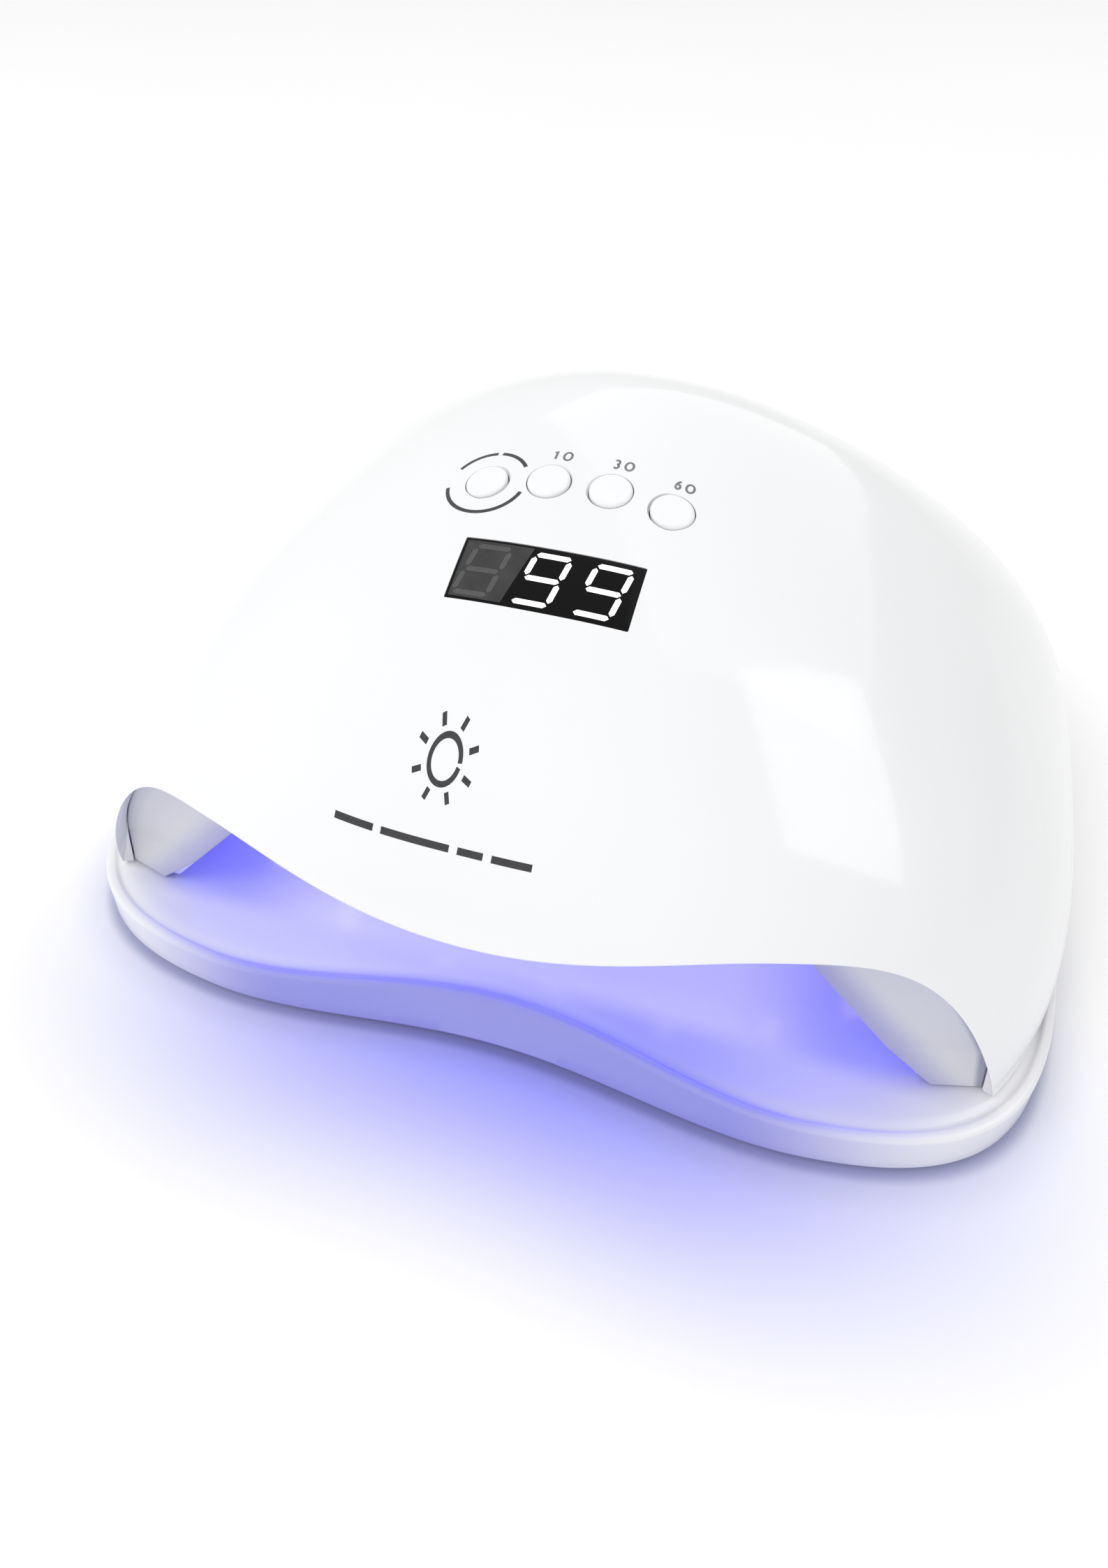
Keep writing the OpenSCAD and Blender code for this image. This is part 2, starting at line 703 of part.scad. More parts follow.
lead_r = 0.9;
power_route = [[2.2, 80.9, 24], [2.2, 77, 34], [2.4, 72, 50], [3, 62, 66], [4, 44, 71],
               [7, 20, 74], [12, -6, 80], [14, -16, 84]];
function shifted(route, v) = [for (p = route) p + v];
module power_leads() {
    color("firebrick") wire(power_route, lead_r);
    color("black") wire(shifted(power_route, [-4.4, 0, 0]), lead_r);
}

top_lead_route = [[-8, -26, 80], [-10, -18, 74], [-12, -4, 66], [-12, 6, 61]];
wall_lead_route = [[20, -34, 80], [34, -30, 76], [50, -26, 66], [58, -22, 52]];
rear_lead_route = [[-20, -20, 82], [-22, 0, 76], [-22, 40, 71], [-22, 64.5, 62.5], [-22, 69.4, 46]];
module led_leads() {
    color("gold") {
        wire(top_lead_route, lead_r);
        both_sides() wire(wall_lead_route, lead_r);
        wire(rear_lead_route, lead_r);
    }
}

base_cover();
base_plate();
base_feet();
base_screws();
base_discs();
locating_pegs();
top_shell();
mouth_bezel();
reflector();
underside_frame();
head_magnets();
shell_screws();
reflector_screws();
display_window();
display_module();
control_board();
control_chips();
board_screws();
button_switches();
power_button();
timer_button_1();
timer_button_2();
timer_button_3();
power_plunger();
timer_plunger_1();
timer_plunger_2();
timer_plunger_3();
led_board_top();
led_board_left();
led_board_right();
led_board_rear();
leds_top();
leds_left();
leds_right();
leds_rear();
dc_jack();
dc_contact_pin();
dc_jack_nut();
hand_sensors();
power_leads();
led_leads();
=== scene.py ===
"""Looks of a domed curing lamp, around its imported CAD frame. Metres, +Z up, -Y at the hand opening."""
import json
import math

import bmesh
import bpy
import numpy as np
from mathutils import Matrix, Vector

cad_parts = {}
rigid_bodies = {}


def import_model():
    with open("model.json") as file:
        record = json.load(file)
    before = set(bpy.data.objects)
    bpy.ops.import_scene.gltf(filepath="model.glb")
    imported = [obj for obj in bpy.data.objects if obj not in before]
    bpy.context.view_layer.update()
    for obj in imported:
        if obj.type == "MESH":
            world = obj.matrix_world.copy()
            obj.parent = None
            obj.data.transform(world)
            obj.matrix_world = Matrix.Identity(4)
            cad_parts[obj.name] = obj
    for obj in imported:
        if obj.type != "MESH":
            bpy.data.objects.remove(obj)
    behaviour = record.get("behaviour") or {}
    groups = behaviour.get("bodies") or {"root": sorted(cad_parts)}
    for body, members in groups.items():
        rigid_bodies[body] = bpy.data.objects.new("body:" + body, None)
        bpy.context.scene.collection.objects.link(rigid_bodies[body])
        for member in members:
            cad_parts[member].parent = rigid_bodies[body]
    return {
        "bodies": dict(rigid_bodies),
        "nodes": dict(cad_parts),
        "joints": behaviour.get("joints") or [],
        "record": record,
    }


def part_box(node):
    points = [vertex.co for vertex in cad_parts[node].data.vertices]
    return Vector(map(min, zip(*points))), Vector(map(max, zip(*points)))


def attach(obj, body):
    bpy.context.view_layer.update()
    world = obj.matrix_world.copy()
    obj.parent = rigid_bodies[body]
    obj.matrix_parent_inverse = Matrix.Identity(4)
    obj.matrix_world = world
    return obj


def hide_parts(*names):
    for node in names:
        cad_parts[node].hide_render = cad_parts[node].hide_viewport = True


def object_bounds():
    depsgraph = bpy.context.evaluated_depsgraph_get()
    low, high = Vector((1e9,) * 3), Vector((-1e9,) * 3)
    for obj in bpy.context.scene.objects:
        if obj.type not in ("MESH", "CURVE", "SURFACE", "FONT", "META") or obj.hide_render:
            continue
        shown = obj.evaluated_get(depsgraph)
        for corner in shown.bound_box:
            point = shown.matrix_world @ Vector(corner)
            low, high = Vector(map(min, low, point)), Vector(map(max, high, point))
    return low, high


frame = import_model()
cad_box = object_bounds()
MM = 0.001

# ---- camera and stage ----

TARGET = Vector((-0.0055, -0.0278, 0.0263))
AZIMUTH, ELEVATION, DISTANCE = math.radians(18.0), math.radians(44.6), 0.2468
LENS = 24.05


def add_camera():
    back = Vector((math.sin(AZIMUTH) * math.cos(ELEVATION),
                   -math.cos(AZIMUTH) * math.cos(ELEVATION), math.sin(ELEVATION)))
    data = bpy.data.cameras.new("camera")
    data.lens, data.sensor_width, data.sensor_fit = LENS, 36.0, "AUTO"
    data.clip_start, data.clip_end = 0.01, 50.0
    camera = bpy.data.objects.new("camera", data)
    camera.location = TARGET + back * DISTANCE
    camera.rotation_euler = back.to_track_quat("Z", "Y").to_euler()
    bpy.context.scene.collection.objects.link(camera)
    bpy.context.scene.camera = camera


def area_light(name, place, aim, size, radiance, colour=(1, 1, 1), across=(1, 0, 0), body=None,
               seen=True):
    """Soft rectangle of light of a given radiance, its long side as near to across as it can be."""
    data = bpy.data.lights.new(name, "AREA")
    data.shape, data.size, data.size_y = "RECTANGLE", size[0], size[1]
    data.energy = radiance * math.pi * size[0] * size[1]
    data.color = colour
    light = bpy.data.objects.new(name, data)
    z = (Vector(place) - Vector(aim)).normalized()
    y = z.cross(Vector(across)).normalized()
    light.matrix_world = Matrix.Translation(place) @ Matrix((y.cross(z), y, z)).transposed().to_4x4()
    light.visible_camera = False
    light.visible_glossy = seen
    bpy.context.scene.collection.objects.link(light)
    if body:
        light.parent = frame["bodies"][body]
    return light


# ---- materials ----

def nodes_of(name):
    material = bpy.data.materials.new(name)
    material.use_nodes = True
    tree = material.node_tree
    shader = tree.nodes["Principled BSDF"]
    return material, tree, shader


def object_noise(tree, scale, detail, stretch):
    """Noise fixed to the object, as a value from 0 to 1."""
    place = tree.nodes.new("ShaderNodeTexCoord")
    mapping = tree.nodes.new("ShaderNodeMapping")
    mapping.inputs["Scale"].default_value = stretch
    noise = tree.nodes.new("ShaderNodeTexNoise")
    noise.inputs["Scale"].default_value = scale
    noise.inputs["Detail"].default_value = detail
    noise.inputs["Roughness"].default_value = 0.55
    tree.links.new(place.outputs["Object"], mapping.inputs["Vector"])
    tree.links.new(mapping.outputs["Vector"], noise.inputs["Vector"])
    return noise.outputs["Fac"]


def ranged(tree, value, low, high):
    """Spreads noise, which mostly lies between 0.3 and 0.7, over low to high."""
    node = tree.nodes.new("ShaderNodeMapRange")
    node.inputs["From Min"].default_value, node.inputs["From Max"].default_value = 0.3, 0.7
    node.inputs["To Min"].default_value, node.inputs["To Max"].default_value = low, high
    tree.links.new(value, node.inputs["Value"])
    return node.outputs["Result"]


def mixed(tree, value, first, second):
    node = tree.nodes.new("ShaderNodeMix")
    node.data_type = "RGBA"
    node.inputs["A"].default_value = (*first, 1)
    node.inputs["B"].default_value = (*second, 1)
    tree.links.new(value, node.inputs["Factor"])
    return node.outputs["Result"]


def add_bump(tree, shader, value, height):
    bump = tree.nodes.new("ShaderNodeBump")
    bump.inputs["Strength"].default_value = 1.0
    bump.inputs["Distance"].default_value = height
    tree.links.new(value, bump.inputs["Height"])
    tree.links.new(bump.outputs["Normal"], shader.inputs["Normal"])


def surface(name, colour, rough, metallic=0.0, coat=0.0, tint=0.03, patch=60.0, grain=900.0,
            height=0.000004, rough_step=0.05, stretch=(1, 1, 1), ior=1.5, glow=None, glow_power=0.0):
    """Moulded or metal surface: patchy tint and gloss, with a fine grain."""
    material, tree, shader = nodes_of(name)
    darker = tuple(c * (1 - tint) for c in colour)
    lighter = tuple(min(1.0, c * (1 + tint)) for c in colour)
    patches = object_noise(tree, patch, 3.0, stretch)
    tree.links.new(mixed(tree, ranged(tree, patches, 0, 1), darker, lighter), shader.inputs["Base Color"])
    gloss = object_noise(tree, patch * 2.3, 5.0, stretch)
    tree.links.new(ranged(tree, gloss, max(0.02, rough - rough_step), rough + rough_step),
                   shader.inputs["Roughness"])
    add_bump(tree, shader, object_noise(tree, grain, 2.0, stretch), height)
    shader.inputs["Metallic"].default_value = metallic
    shader.inputs["Coat Weight"].default_value = coat
    shader.inputs["Coat Roughness"].default_value = 0.04
    shader.inputs["IOR"].default_value = ior
    if glow:
        shader.inputs["Emission Color"].default_value = (*glow, 1)
        shader.inputs["Emission Strength"].default_value = glow_power
    return material


def graph(tree):
    """Small expression helpers over one node tree: each returns an output socket."""
    def math_node(kind, *values, clamp=False):
        node = tree.nodes.new("ShaderNodeMath")
        node.operation, node.use_clamp = kind, clamp
        for socket, value in zip(node.inputs, values):
            if isinstance(value, (int, float)):
                socket.default_value = value
            else:
                tree.links.new(value, socket)
        return node.outputs[0]

    def ramp(value, start, end, low=0.0, high=1.0, even=False):
        node = tree.nodes.new("ShaderNodeMapRange")
        node.interpolation_type = "LINEAR" if even else "SMOOTHSTEP"
        for name, number in zip(("From Min", "From Max", "To Min", "To Max"), (start, end, low, high)):
            node.inputs[name].default_value = number
        tree.links.new(value, node.inputs["Value"])
        return node.outputs["Result"]
    place = tree.nodes.new("ShaderNodeTexCoord")
    split = tree.nodes.new("ShaderNodeSeparateXYZ")
    tree.links.new(place.outputs["Object"], split.inputs[0])
    return math_node, ramp, split.outputs


def bell(math_node, x, width, centre=0.0):
    """exp(-((x - centre) / width)^2)"""
    away = math_node("DIVIDE", math_node("SUBTRACT", x, centre), width)
    return math_node("POWER", math.e, math_node("MULTIPLY", math_node("MULTIPLY", away, away), -1.0))


def past_front(math_node, ramp, axes):
    """Distance out from the base's front edge, over the floor or over the base."""
    x, y = math_node("ABSOLUTE", axes[0]), math_node("ABSOLUTE", axes[1])
    round_x = math_node("POWER", math_node("DIVIDE", x, HALF_W), BASE_SQUARE)
    round_y = math_node("POWER", math_node("DIVIDE", y, BASE_FRONT), BASE_SQUARE)
    far = math_node("POWER", math_node("ADD", round_x, round_y), 1 / BASE_SQUARE)
    out = math_node("MULTIPLY", math_node("SUBTRACT", far, 1.0), BASE_FRONT)
    turn = math_node("MULTIPLY", math_node("MINIMUM", math_node("DIVIDE", x, WAIST_HALF), 1.0), math.pi / 2)
    pull = math_node("POWER", math_node("COSINE", turn), 2.0)
    deep = ramp(axes[2], BASE_BOTTOM + BASE_FOOT, BASE_TOP, WAIST, WAIST + WAIST_LEAN, even=True)
    return math_node("ADD", out, math_node("MULTIPLY", pull, deep))


def glow_tint(material, weigh, colour):
    """Multiplies a material's colour by another, by a weight worked out over the object's own coordinates."""
    tree = material.node_tree
    shader = tree.nodes["Principled BSDF"]
    math_node, ramp, axes = graph(tree)
    weight = weigh(math_node, ramp, axes)
    own = shader.inputs["Base Color"].links[0].from_socket
    tint = tree.nodes.new("ShaderNodeMix")
    tint.data_type, tint.blend_type = "RGBA", "MULTIPLY"
    tint.inputs["B"].default_value = (*colour, 1)
    tree.links.new(weight, tint.inputs["Factor"])
    tree.links.new(own, tint.inputs["A"])
    tree.links.new(tint.outputs["Result"], shader.inputs["Base Color"])


# The painted glow and shade: distances are on the object, fades run from the first place to the second
GLOW, SHADE = (0.17, 0.18, 0.82), (0.30, 0.32, 0.50)
FLOOR_GLOW, FLOOR_REACH, FLOOR_FADE = 0.76, 54 * MM, (-75 * MM, -30 * MM)
FLOOR_WIDTH, FLOOR_CENTRE = 91 * MM, 8 * MM
CONTACT_LINE, CONTACT_SHADOW = (0.55, 2.6 * MM), (0.22, 9.5 * MM)
CONTACT_FADE = (-35 * MM, 15 * MM)
BAND_GLOW, BAND_FADE = 0.72, (48 * MM, 94 * MM)
LEDGE_GLOW, LEDGE_FADE, LEDGE_START = 0.25, (74 * MM, 104 * MM), (1.2 * MM, 4.8 * MM)
EDGE_GLOW, EDGE_FADE, EDGE_WIDTH, EDGE_CENTRE = 0.30, (4 * MM, 24 * MM), 28 * MM, 34 * MM
CHAMBER_GLOW, CHAMBER_CORE, CHAMBER_START = (0.10, 0.56), (42 * MM, 72 * MM), (-76.5 * MM, -69.5 * MM)
CHAMBER_END, CHAMBER_SIDES = (45 * MM, 62 * MM), (82 * MM, 98 * MM)
PANEL_GLOW, PANEL_FADE, PANEL_FOOT, PANEL_SLOPE = 0.50, 11 * MM, (84.5 * MM, 12.3 * MM), 0.90
LIP_SHADE, LIP_FADE, LIP_WIDENS = 0.75, (0.9 * MM, 2.4 * MM), 0.06
LIP_SIDE, LIP_SIDE_LOW = (20 * MM, 90 * MM), 0.12
REAR_DARK = (0.3 * MM, 0.8 * MM)


def floor_glow(math_node, ramp, axes):
    """The lamp's light on the table: strongest along the base's front edge."""
    near = ramp(past_front(math_node, ramp, axes), 0.0, FLOOR_REACH, 1.0, 0.0)
    front = ramp(axes[1], *FLOOR_FADE, 1.0, 0.0)
    return math_node("MULTIPLY", math_node("MULTIPLY", near, front),
                     math_node("MULTIPLY", bell(math_node, axes[0], FLOOR_WIDTH, FLOOR_CENTRE), FLOOR_GLOW))


def floor_contact(math_node, ramp, axes):
    """Dark line and soft shadow on the table where the base's front and sides come down to it."""
    away = past_front(math_node, ramp, axes)
    close, wide = (math_node("MULTIPLY", ramp(away, 0.0, reach, 1.0, 0.0), amount)
                   for amount, reach in (CONTACT_LINE, CONTACT_SHADOW))
    front = ramp(axes[1], *CONTACT_FADE, 1.0, 0.0)
    return math_node("MULTIPLY", math_node("ADD", close, wide), front)


def base_glow(math_node, ramp, axes):
    """The lamp's light on the base: strong on the front band, less on the ledge, deep in the chamber."""
    def blend(first, second, share):
        rest = math_node("SUBTRACT", 1.0, share)
        return math_node("ADD", math_node("MULTIPLY", first, rest), math_node("MULTIPLY", second, share))
    wide = math_node("ABSOLUTE", axes[0])
    inward = math_node("MULTIPLY", past_front(math_node, ramp, axes), -1.0)
    band = ramp(wide, *BAND_FADE, BAND_GLOW, 0.0)
    by_edge = math_node("MULTIPLY", ramp(inward, *EDGE_FADE, EDGE_GLOW, 0.0),
                        bell(math_node, axes[0], EDGE_WIDTH, EDGE_CENTRE))
    ledge = math_node("MULTIPLY", ramp(wide, *LEDGE_FADE, 1.0, 0.0), math_node("ADD", by_edge, LEDGE_GLOW))
    inside = math_node("MULTIPLY", ramp(axes[1], *CHAMBER_END, 1.0, 0.0),
                       ramp(wide, *CHAMBER_SIDES, 1.0, 0.0))
    chamber = math_node("MULTIPLY", ramp(wide, *CHAMBER_CORE, *CHAMBER_GLOW), inside)
    return blend(blend(band, ledge, ramp(inward, *LEDGE_START)), chamber, ramp(axes[1], *CHAMBER_START))


def panel_glow(math_node, ramp, axes):
    """Painted violet light along the opening panel's inner edge, which stands nearest the lenses."""
    foot_x, foot_z = PANEL_FOOT
    up = math_node("SUBTRACT", axes[2], foot_z)
    edge = math_node("SUBTRACT", foot_x, math_node("MULTIPLY", up, PANEL_SLOPE))
    return ramp(math_node("SUBTRACT", math_node("ABSOLUTE", axes[0]), edge), 0.0, PANEL_FADE, PANEL_GLOW, 0.0)


def panel_shade(math_node, ramp, axes):
    """Shadow of the lip's right side on the panel behind it, by the mesh's own distance from the lip."""
    tree = axes[0].node.id_data
    away = tree.nodes.new("ShaderNodeAttribute")
    away.attribute_name = "from_lip"
    rise = math_node("MULTIPLY", math_node("SUBTRACT", axes[2], RIM), LIP_WIDENS)
    close = ramp(math_node("SUBTRACT", away.outputs["Fac"], rise), *LIP_FADE, 1.0, 0.0)
    side = ramp(axes[0], *LIP_SIDE, LIP_SIDE_LOW, 1.0)
    return math_node("MULTIPLY", math_node("MULTIPLY", close, side), LIP_SHADE)


def dim_rear(material):
    """Keeps the reflector's painted violet glow, which stands in for the lamp light it reflects, off its
    outer rear face.
    """
    tree = material.node_tree
    shader = tree.nodes["Principled BSDF"]
    _, ramp, axes = graph(tree)
    power = shader.inputs["Emission Strength"].default_value
    tree.links.new(ramp(axes[1], CHAMBER_BACK + REAR_DARK[0], CHAMBER_BACK + REAR_DARK[1], power, 0.0),
                   shader.inputs["Emission Strength"])


VIOLET = (0.25, 0.26, 1.0)


SURFACES = {
    "shell_white": dict(colour=(0.83, 0.835, 0.845), rough=0.14, coat=0.35, tint=0.012, patch=14,
        grain=420, height=0.0000015, rough_step=0.03),
    "base_white": dict(colour=(0.80, 0.80, 0.83), rough=0.23, coat=0.2, tint=0.015, patch=18, grain=600,
        height=0.000003, rough_step=0.035),
    "bezel_grey": dict(colour=(0.66, 0.665, 0.69), rough=0.34, tint=0.02, patch=25, grain=1800,
        height=0.000012),
    # The reflector's emission is painted light: a violet glow standing in for the chamber's light that it
    # reflects
    "reflector_white": dict(colour=(0.72, 0.71, 0.92), rough=0.2, coat=0.2, tint=0.03, patch=30,
        grain=700, height=0.000004, glow=(0.22, 0.2, 1.0), glow_power=0.35),
    "frame_white": dict(colour=(0.74, 0.74, 0.76), rough=0.45, tint=0.025, patch=40, grain=2200,
        height=0.00002),
    "button_white": dict(colour=(0.84, 0.845, 0.855), rough=0.2, coat=0.3, tint=0.01, patch=60,
        grain=900, height=0.000003),
    "foot_rubber": dict(colour=(0.045, 0.045, 0.05), rough=0.7, tint=0.15, patch=120, grain=2600,
        height=0.00003),
    "screw_steel": dict(colour=(0.62, 0.62, 0.64), rough=0.34, metallic=1.0, tint=0.08, patch=300,
        grain=1500, height=0.000006, stretch=(1, 1, 5)),
    "magnet_nickel": dict(colour=(0.76, 0.75, 0.73), rough=0.16, metallic=1.0, tint=0.05, patch=220,
        grain=1300, height=0.000003),
    "disc_steel": dict(colour=(0.52, 0.52, 0.54), rough=0.34, metallic=1.0, tint=0.1, patch=180,
        grain=1600, height=0.000008, stretch=(1, 6, 1)),
    "window_black": dict(colour=(0.003, 0.003, 0.0035), rough=0.12, tint=0.2, patch=40, grain=500,
        height=0.000001, rough_step=0.02, ior=1.22),
    "display_black": dict(colour=(0.02, 0.02, 0.022), rough=0.45, tint=0.2, patch=150, grain=1800,
        height=0.00001),
    "pcb_green": dict(colour=(0.02, 0.16, 0.06), rough=0.22, coat=0.3, tint=0.25, patch=420, grain=1500,
        height=0.00002),
    "chip_black": dict(colour=(0.025, 0.025, 0.028), rough=0.5, tint=0.2, patch=300, grain=2600,
        height=0.00002),
    "plunger_brown": dict(colour=(0.16, 0.075, 0.035), rough=0.4, tint=0.1, patch=400, grain=1800,
        height=0.00001),
    "board_aluminium": dict(colour=(0.78, 0.79, 0.80), rough=0.34, metallic=1.0, tint=0.06, patch=90,
        grain=1400, height=0.00001, stretch=(1, 14, 1)),
    "lens_clear": dict(colour=(0.70, 0.68, 1.0), rough=0.08, coat=0.5, tint=0.05, patch=200, grain=700,
        height=0.000002, glow=(0.42, 0.38, 1.0), glow_power=6.0),
    "jack_black": dict(colour=(0.022, 0.022, 0.024), rough=0.38, tint=0.15, patch=160, grain=2000,
        height=0.000015),
    "pin_nickel": dict(colour=(0.78, 0.76, 0.72), rough=0.2, metallic=1.0, tint=0.06, patch=300,
        grain=1500, height=0.000004),
    "lead_red_black": dict(colour=(0.36, 0.02, 0.02), rough=0.42, tint=0.1, patch=200, grain=1800,
        height=0.00001),
    "lead_yellow": dict(colour=(0.75, 0.50, 0.05), rough=0.42, tint=0.1, patch=200, grain=1800,
        height=0.00001),
    "floor_paper": dict(colour=(0.92, 0.92, 0.92), rough=0.62, tint=0.006, patch=3, grain=300,
        height=0.00002, ior=1.3, glow=(1, 1, 1), glow_power=0.05),
    "print_ink": dict(colour=(0.035, 0.035, 0.04), rough=0.35, tint=0.15, patch=400, grain=2500,
        height=0.000004),
    "number_ink": dict(colour=(0.16, 0.16, 0.165), rough=0.35, tint=0.12, patch=400, grain=2500,
        height=0.000004),
    "unlit_panel": dict(colour=(0.050, 0.050, 0.052), rough=0.34, tint=0.16, patch=300, grain=1200,
        height=0.000003, ior=1.22),
    "unlit_bar": dict(colour=(0.092, 0.092, 0.094), rough=0.34, tint=0.08, patch=300, grain=1200,
        height=0.000003, ior=1.22),
    "digit_light": dict(colour=(0.9, 0.92, 0.95), rough=0.34, tint=0.03, patch=500, grain=1500,
        height=0.000002, glow=(0.92, 0.97, 1.0), glow_power=1.0),
}


def make_materials():
    kinds = {name: surface(name, **own) for name, own in SURFACES.items()}
    glow_tint(kinds["floor_paper"], floor_glow, GLOW)
    glow_tint(kinds["floor_paper"], floor_contact, SHADE)
    dim_rear(kinds["reflector_white"])
    glow_tint(kinds["base_white"], base_glow, GLOW)
    glow_tint(kinds["bezel_grey"], panel_glow, GLOW)
    glow_tint(kinds["bezel_grey"], panel_shade, SHADE)
    return kinds


# ---- mesh helpers ----

def new_piece(name, points, faces, material, body, smooth_angle=32):
    mesh = bpy.data.meshes.new(name)
    mesh.from_pydata([tuple(p) for p in points], [], faces)
    mesh.validate()
    piece = bpy.data.objects.new(name, mesh)
    bpy.context.scene.collection.objects.link(piece)
    finish_piece(piece, material, body, smooth_angle)
    return piece


def finish_piece(piece, material, body, smooth_angle=32):
    piece.data.materials.clear()
    piece.data.materials.append(MATERIALS[material])
    piece.data.shade_smooth()
    piece.data.set_sharp_from_angle(angle=math.radians(smooth_angle))
    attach(piece, body)


def ring_faces(rows, columns, wrap_rows=False, wrap_columns=True):
    """Quads over a grid of rows; the outside is on the right as the rows rise."""
    last_row = rows if wrap_rows else rows - 1
    last_column = columns if wrap_columns else columns - 1
    return [(j * columns + i, j * columns + (i + 1) % columns,
             (j + 1) % rows * columns + (i + 1) % columns, (j + 1) % rows * columns + i)
            for j in range(last_row) for i in range(last_column)]


def fan(centre, ring, flip=False):
    pairs = [(ring[i], ring[(i + 1) % len(ring)]) for i in range(len(ring))]
    return [(centre, b, a) if flip else (centre, a, b) for a, b in pairs]


def apply_modifiers(piece):
    depsgraph = bpy.context.evaluated_depsgraph_get()
    mesh = bpy.data.meshes.new_from_object(piece.evaluated_get(depsgraph))
    old = piece.data
    piece.modifiers.clear()
    piece.data = mesh
    bpy.data.meshes.remove(old)


def cut(piece, cutters):
    """Takes the cutters, which don't touch each other, out of a piece."""
    tool_mesh = bpy.data.meshes.new("cutter")
    joined = bmesh.new()
    for points, faces in cutters:
        verts = [joined.verts.new(p) for p in points]
        for f in faces:
            joined.faces.new([verts[i] for i in f])
    bmesh.ops.recalc_face_normals(joined, faces=joined.faces)
    joined.to_mesh(tool_mesh)
    joined.free()
    tool = bpy.data.objects.new("cutter", tool_mesh)
    bpy.context.scene.collection.objects.link(tool)
    modifier = piece.modifiers.new("cut", "BOOLEAN")
    modifier.operation, modifier.solver, modifier.object = "DIFFERENCE", "EXACT", tool
    bpy.context.view_layer.update()
    apply_modifiers(piece)
    bpy.data.objects.remove(tool)
    bpy.data.meshes.remove(tool_mesh)


def lathe(profile, place, sides):
    """Closed solid turned from (radius, height) pairs, in the frame given by a matrix."""
    turn = [2 * math.pi * i / sides for i in range(sides)]
    points = [place @ Vector((r * math.cos(a), r * math.sin(a), z)) for r, z in profile for a in turn]
    faces = ring_faces(len(profile), sides)
    high = (len(profile) - 1) * sides
    return points, faces + [tuple(reversed(range(sides))), tuple(range(high, high + sides))]


def turned(profile, place, sides):
    """Closed ring turned from a closed profile of (radius, height) pairs."""
    return lathe(profile, place, sides)[0], ring_faces(len(profile), sides, wrap_rows=True)


def prism(outline, z0, z1, place):
    """Closed solid between two heights over an outline, in the frame given by a matrix."""
    n = len(outline)
    points = [place @ Vector((x, y, z)) for z in (z0, z1) for x, y in outline]
    return points, ring_faces(2, n) + [tuple(reversed(range(n))), tuple(range(n, 2 * n))]


def round_rect(w, d, r, steps=8):
    centres = [(1, 1), (-1, 1), (-1, -1), (1, -1)]
    return [(sx * (w / 2 - r) + r * math.cos(math.radians(90 * q + 90 * i / steps)),
             sy * (d / 2 - r) + r * math.sin(math.radians(90 * q + 90 * i / steps)))
            for q, (sx, sy) in enumerate(centres) for i in range(steps + 1)]


# ---- the dome, by the same rules as the CAD shell ----

HALF_W = (cad_box[1][0] - cad_box[0][0]) / 2
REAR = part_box("top_shell")[1].y
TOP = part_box("top_shell")[1].z
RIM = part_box("top_shell")[0].z
BASE_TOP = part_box("base_cover")[1].z
BASE_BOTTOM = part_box("base_cover")[0].z
FRONT, BASE_FRONT = 104 * MM, 90.5 * MM
SHELL_T, EDGE_GAP, PANEL_SINK = 2.2 * MM, 0.1 * MM, 0.35 * MM
CROWN = 0.3
SIDE_CURVE, FRONT_CURVE, REAR_CURVE = (2, 1.1), (3.4, 1.05), (1.7, 1.1)
FRONT_SQUARE, REAR_SQUARE, BASE_SQUARE = (3, 2.4), (3.7, 2.2), 5
WAIST, WAIST_HALF = 6.2 * MM, 66 * MM
WAIST_LEAN, BASE_FOOT = 4.4 * MM, 1.7 * MM
LIP_HALF, LIP_RISE, LIP_DIP, LIP_DIP_HALF = 98.5 * MM, 48.5 * MM, 5 * MM, 52 * MM
LIP_CURVE = (6, 1.1)
RISE = TOP - RIM


def wall_share(curve, h):
    """Share of the full width or reach that is left at height share h."""
    m, n = curve
    k = (1 + CROWN ** 2) ** (n / 2) - CROWN ** n
    inner = (np.clip(1 - np.asarray(h, float) ** m, 0, 1) * k + CROWN ** n) ** (2 / n) - CROWN ** 2
    return np.sqrt(np.clip(inner, 0, None))


def dome_shape(front, h, t=0.0):
    """Squareness, half width and reach of the dome at height share h."""
    k = np.where(front, FRONT_SQUARE[0] + (FRONT_SQUARE[1] - FRONT_SQUARE[0]) * h,
                 REAR_SQUARE[0] + (REAR_SQUARE[1] - REAR_SQUARE[0]) * h)
    w = (HALF_W - t) * wall_share(SIDE_CURVE, h)
    d = np.where(front, (FRONT - t) * wall_share(FRONT_CURVE, h), (REAR - t) * wall_share(REAR_CURVE, h))
    return k, w, d


def square_round(a, k):
    return (np.abs(np.cos(a)) ** k + np.abs(np.sin(a)) ** k) ** (-1 / k)


def dome(a, h, t=0.0):
    """Points of the dome in directions a (radians) at height shares h, inset by t."""
    a, h = np.broadcast_arrays(np.asarray(a, float), np.asarray(h, float))
    k, w, d = dome_shape(np.sin(a) < 0, h, t)
    q = square_round(a, k)
    return np.stack([w * q * np.cos(a), d * q * np.sin(a), RIM + (RISE - t) * h], -1)


def lip_z(x):
    """Height of the opening's lip at a width."""
    s = np.clip(np.abs(x) / LIP_HALF, 0, 1)
    dip = np.where(np.abs(x) < LIP_DIP_HALF, np.cos(math.pi / 2 * x / LIP_DIP_HALF) ** 2, 0)
    return RIM + LIP_RISE * (1 - s ** LIP_CURVE[0]) ** (1 / LIP_CURVE[1]) - LIP_DIP * dip


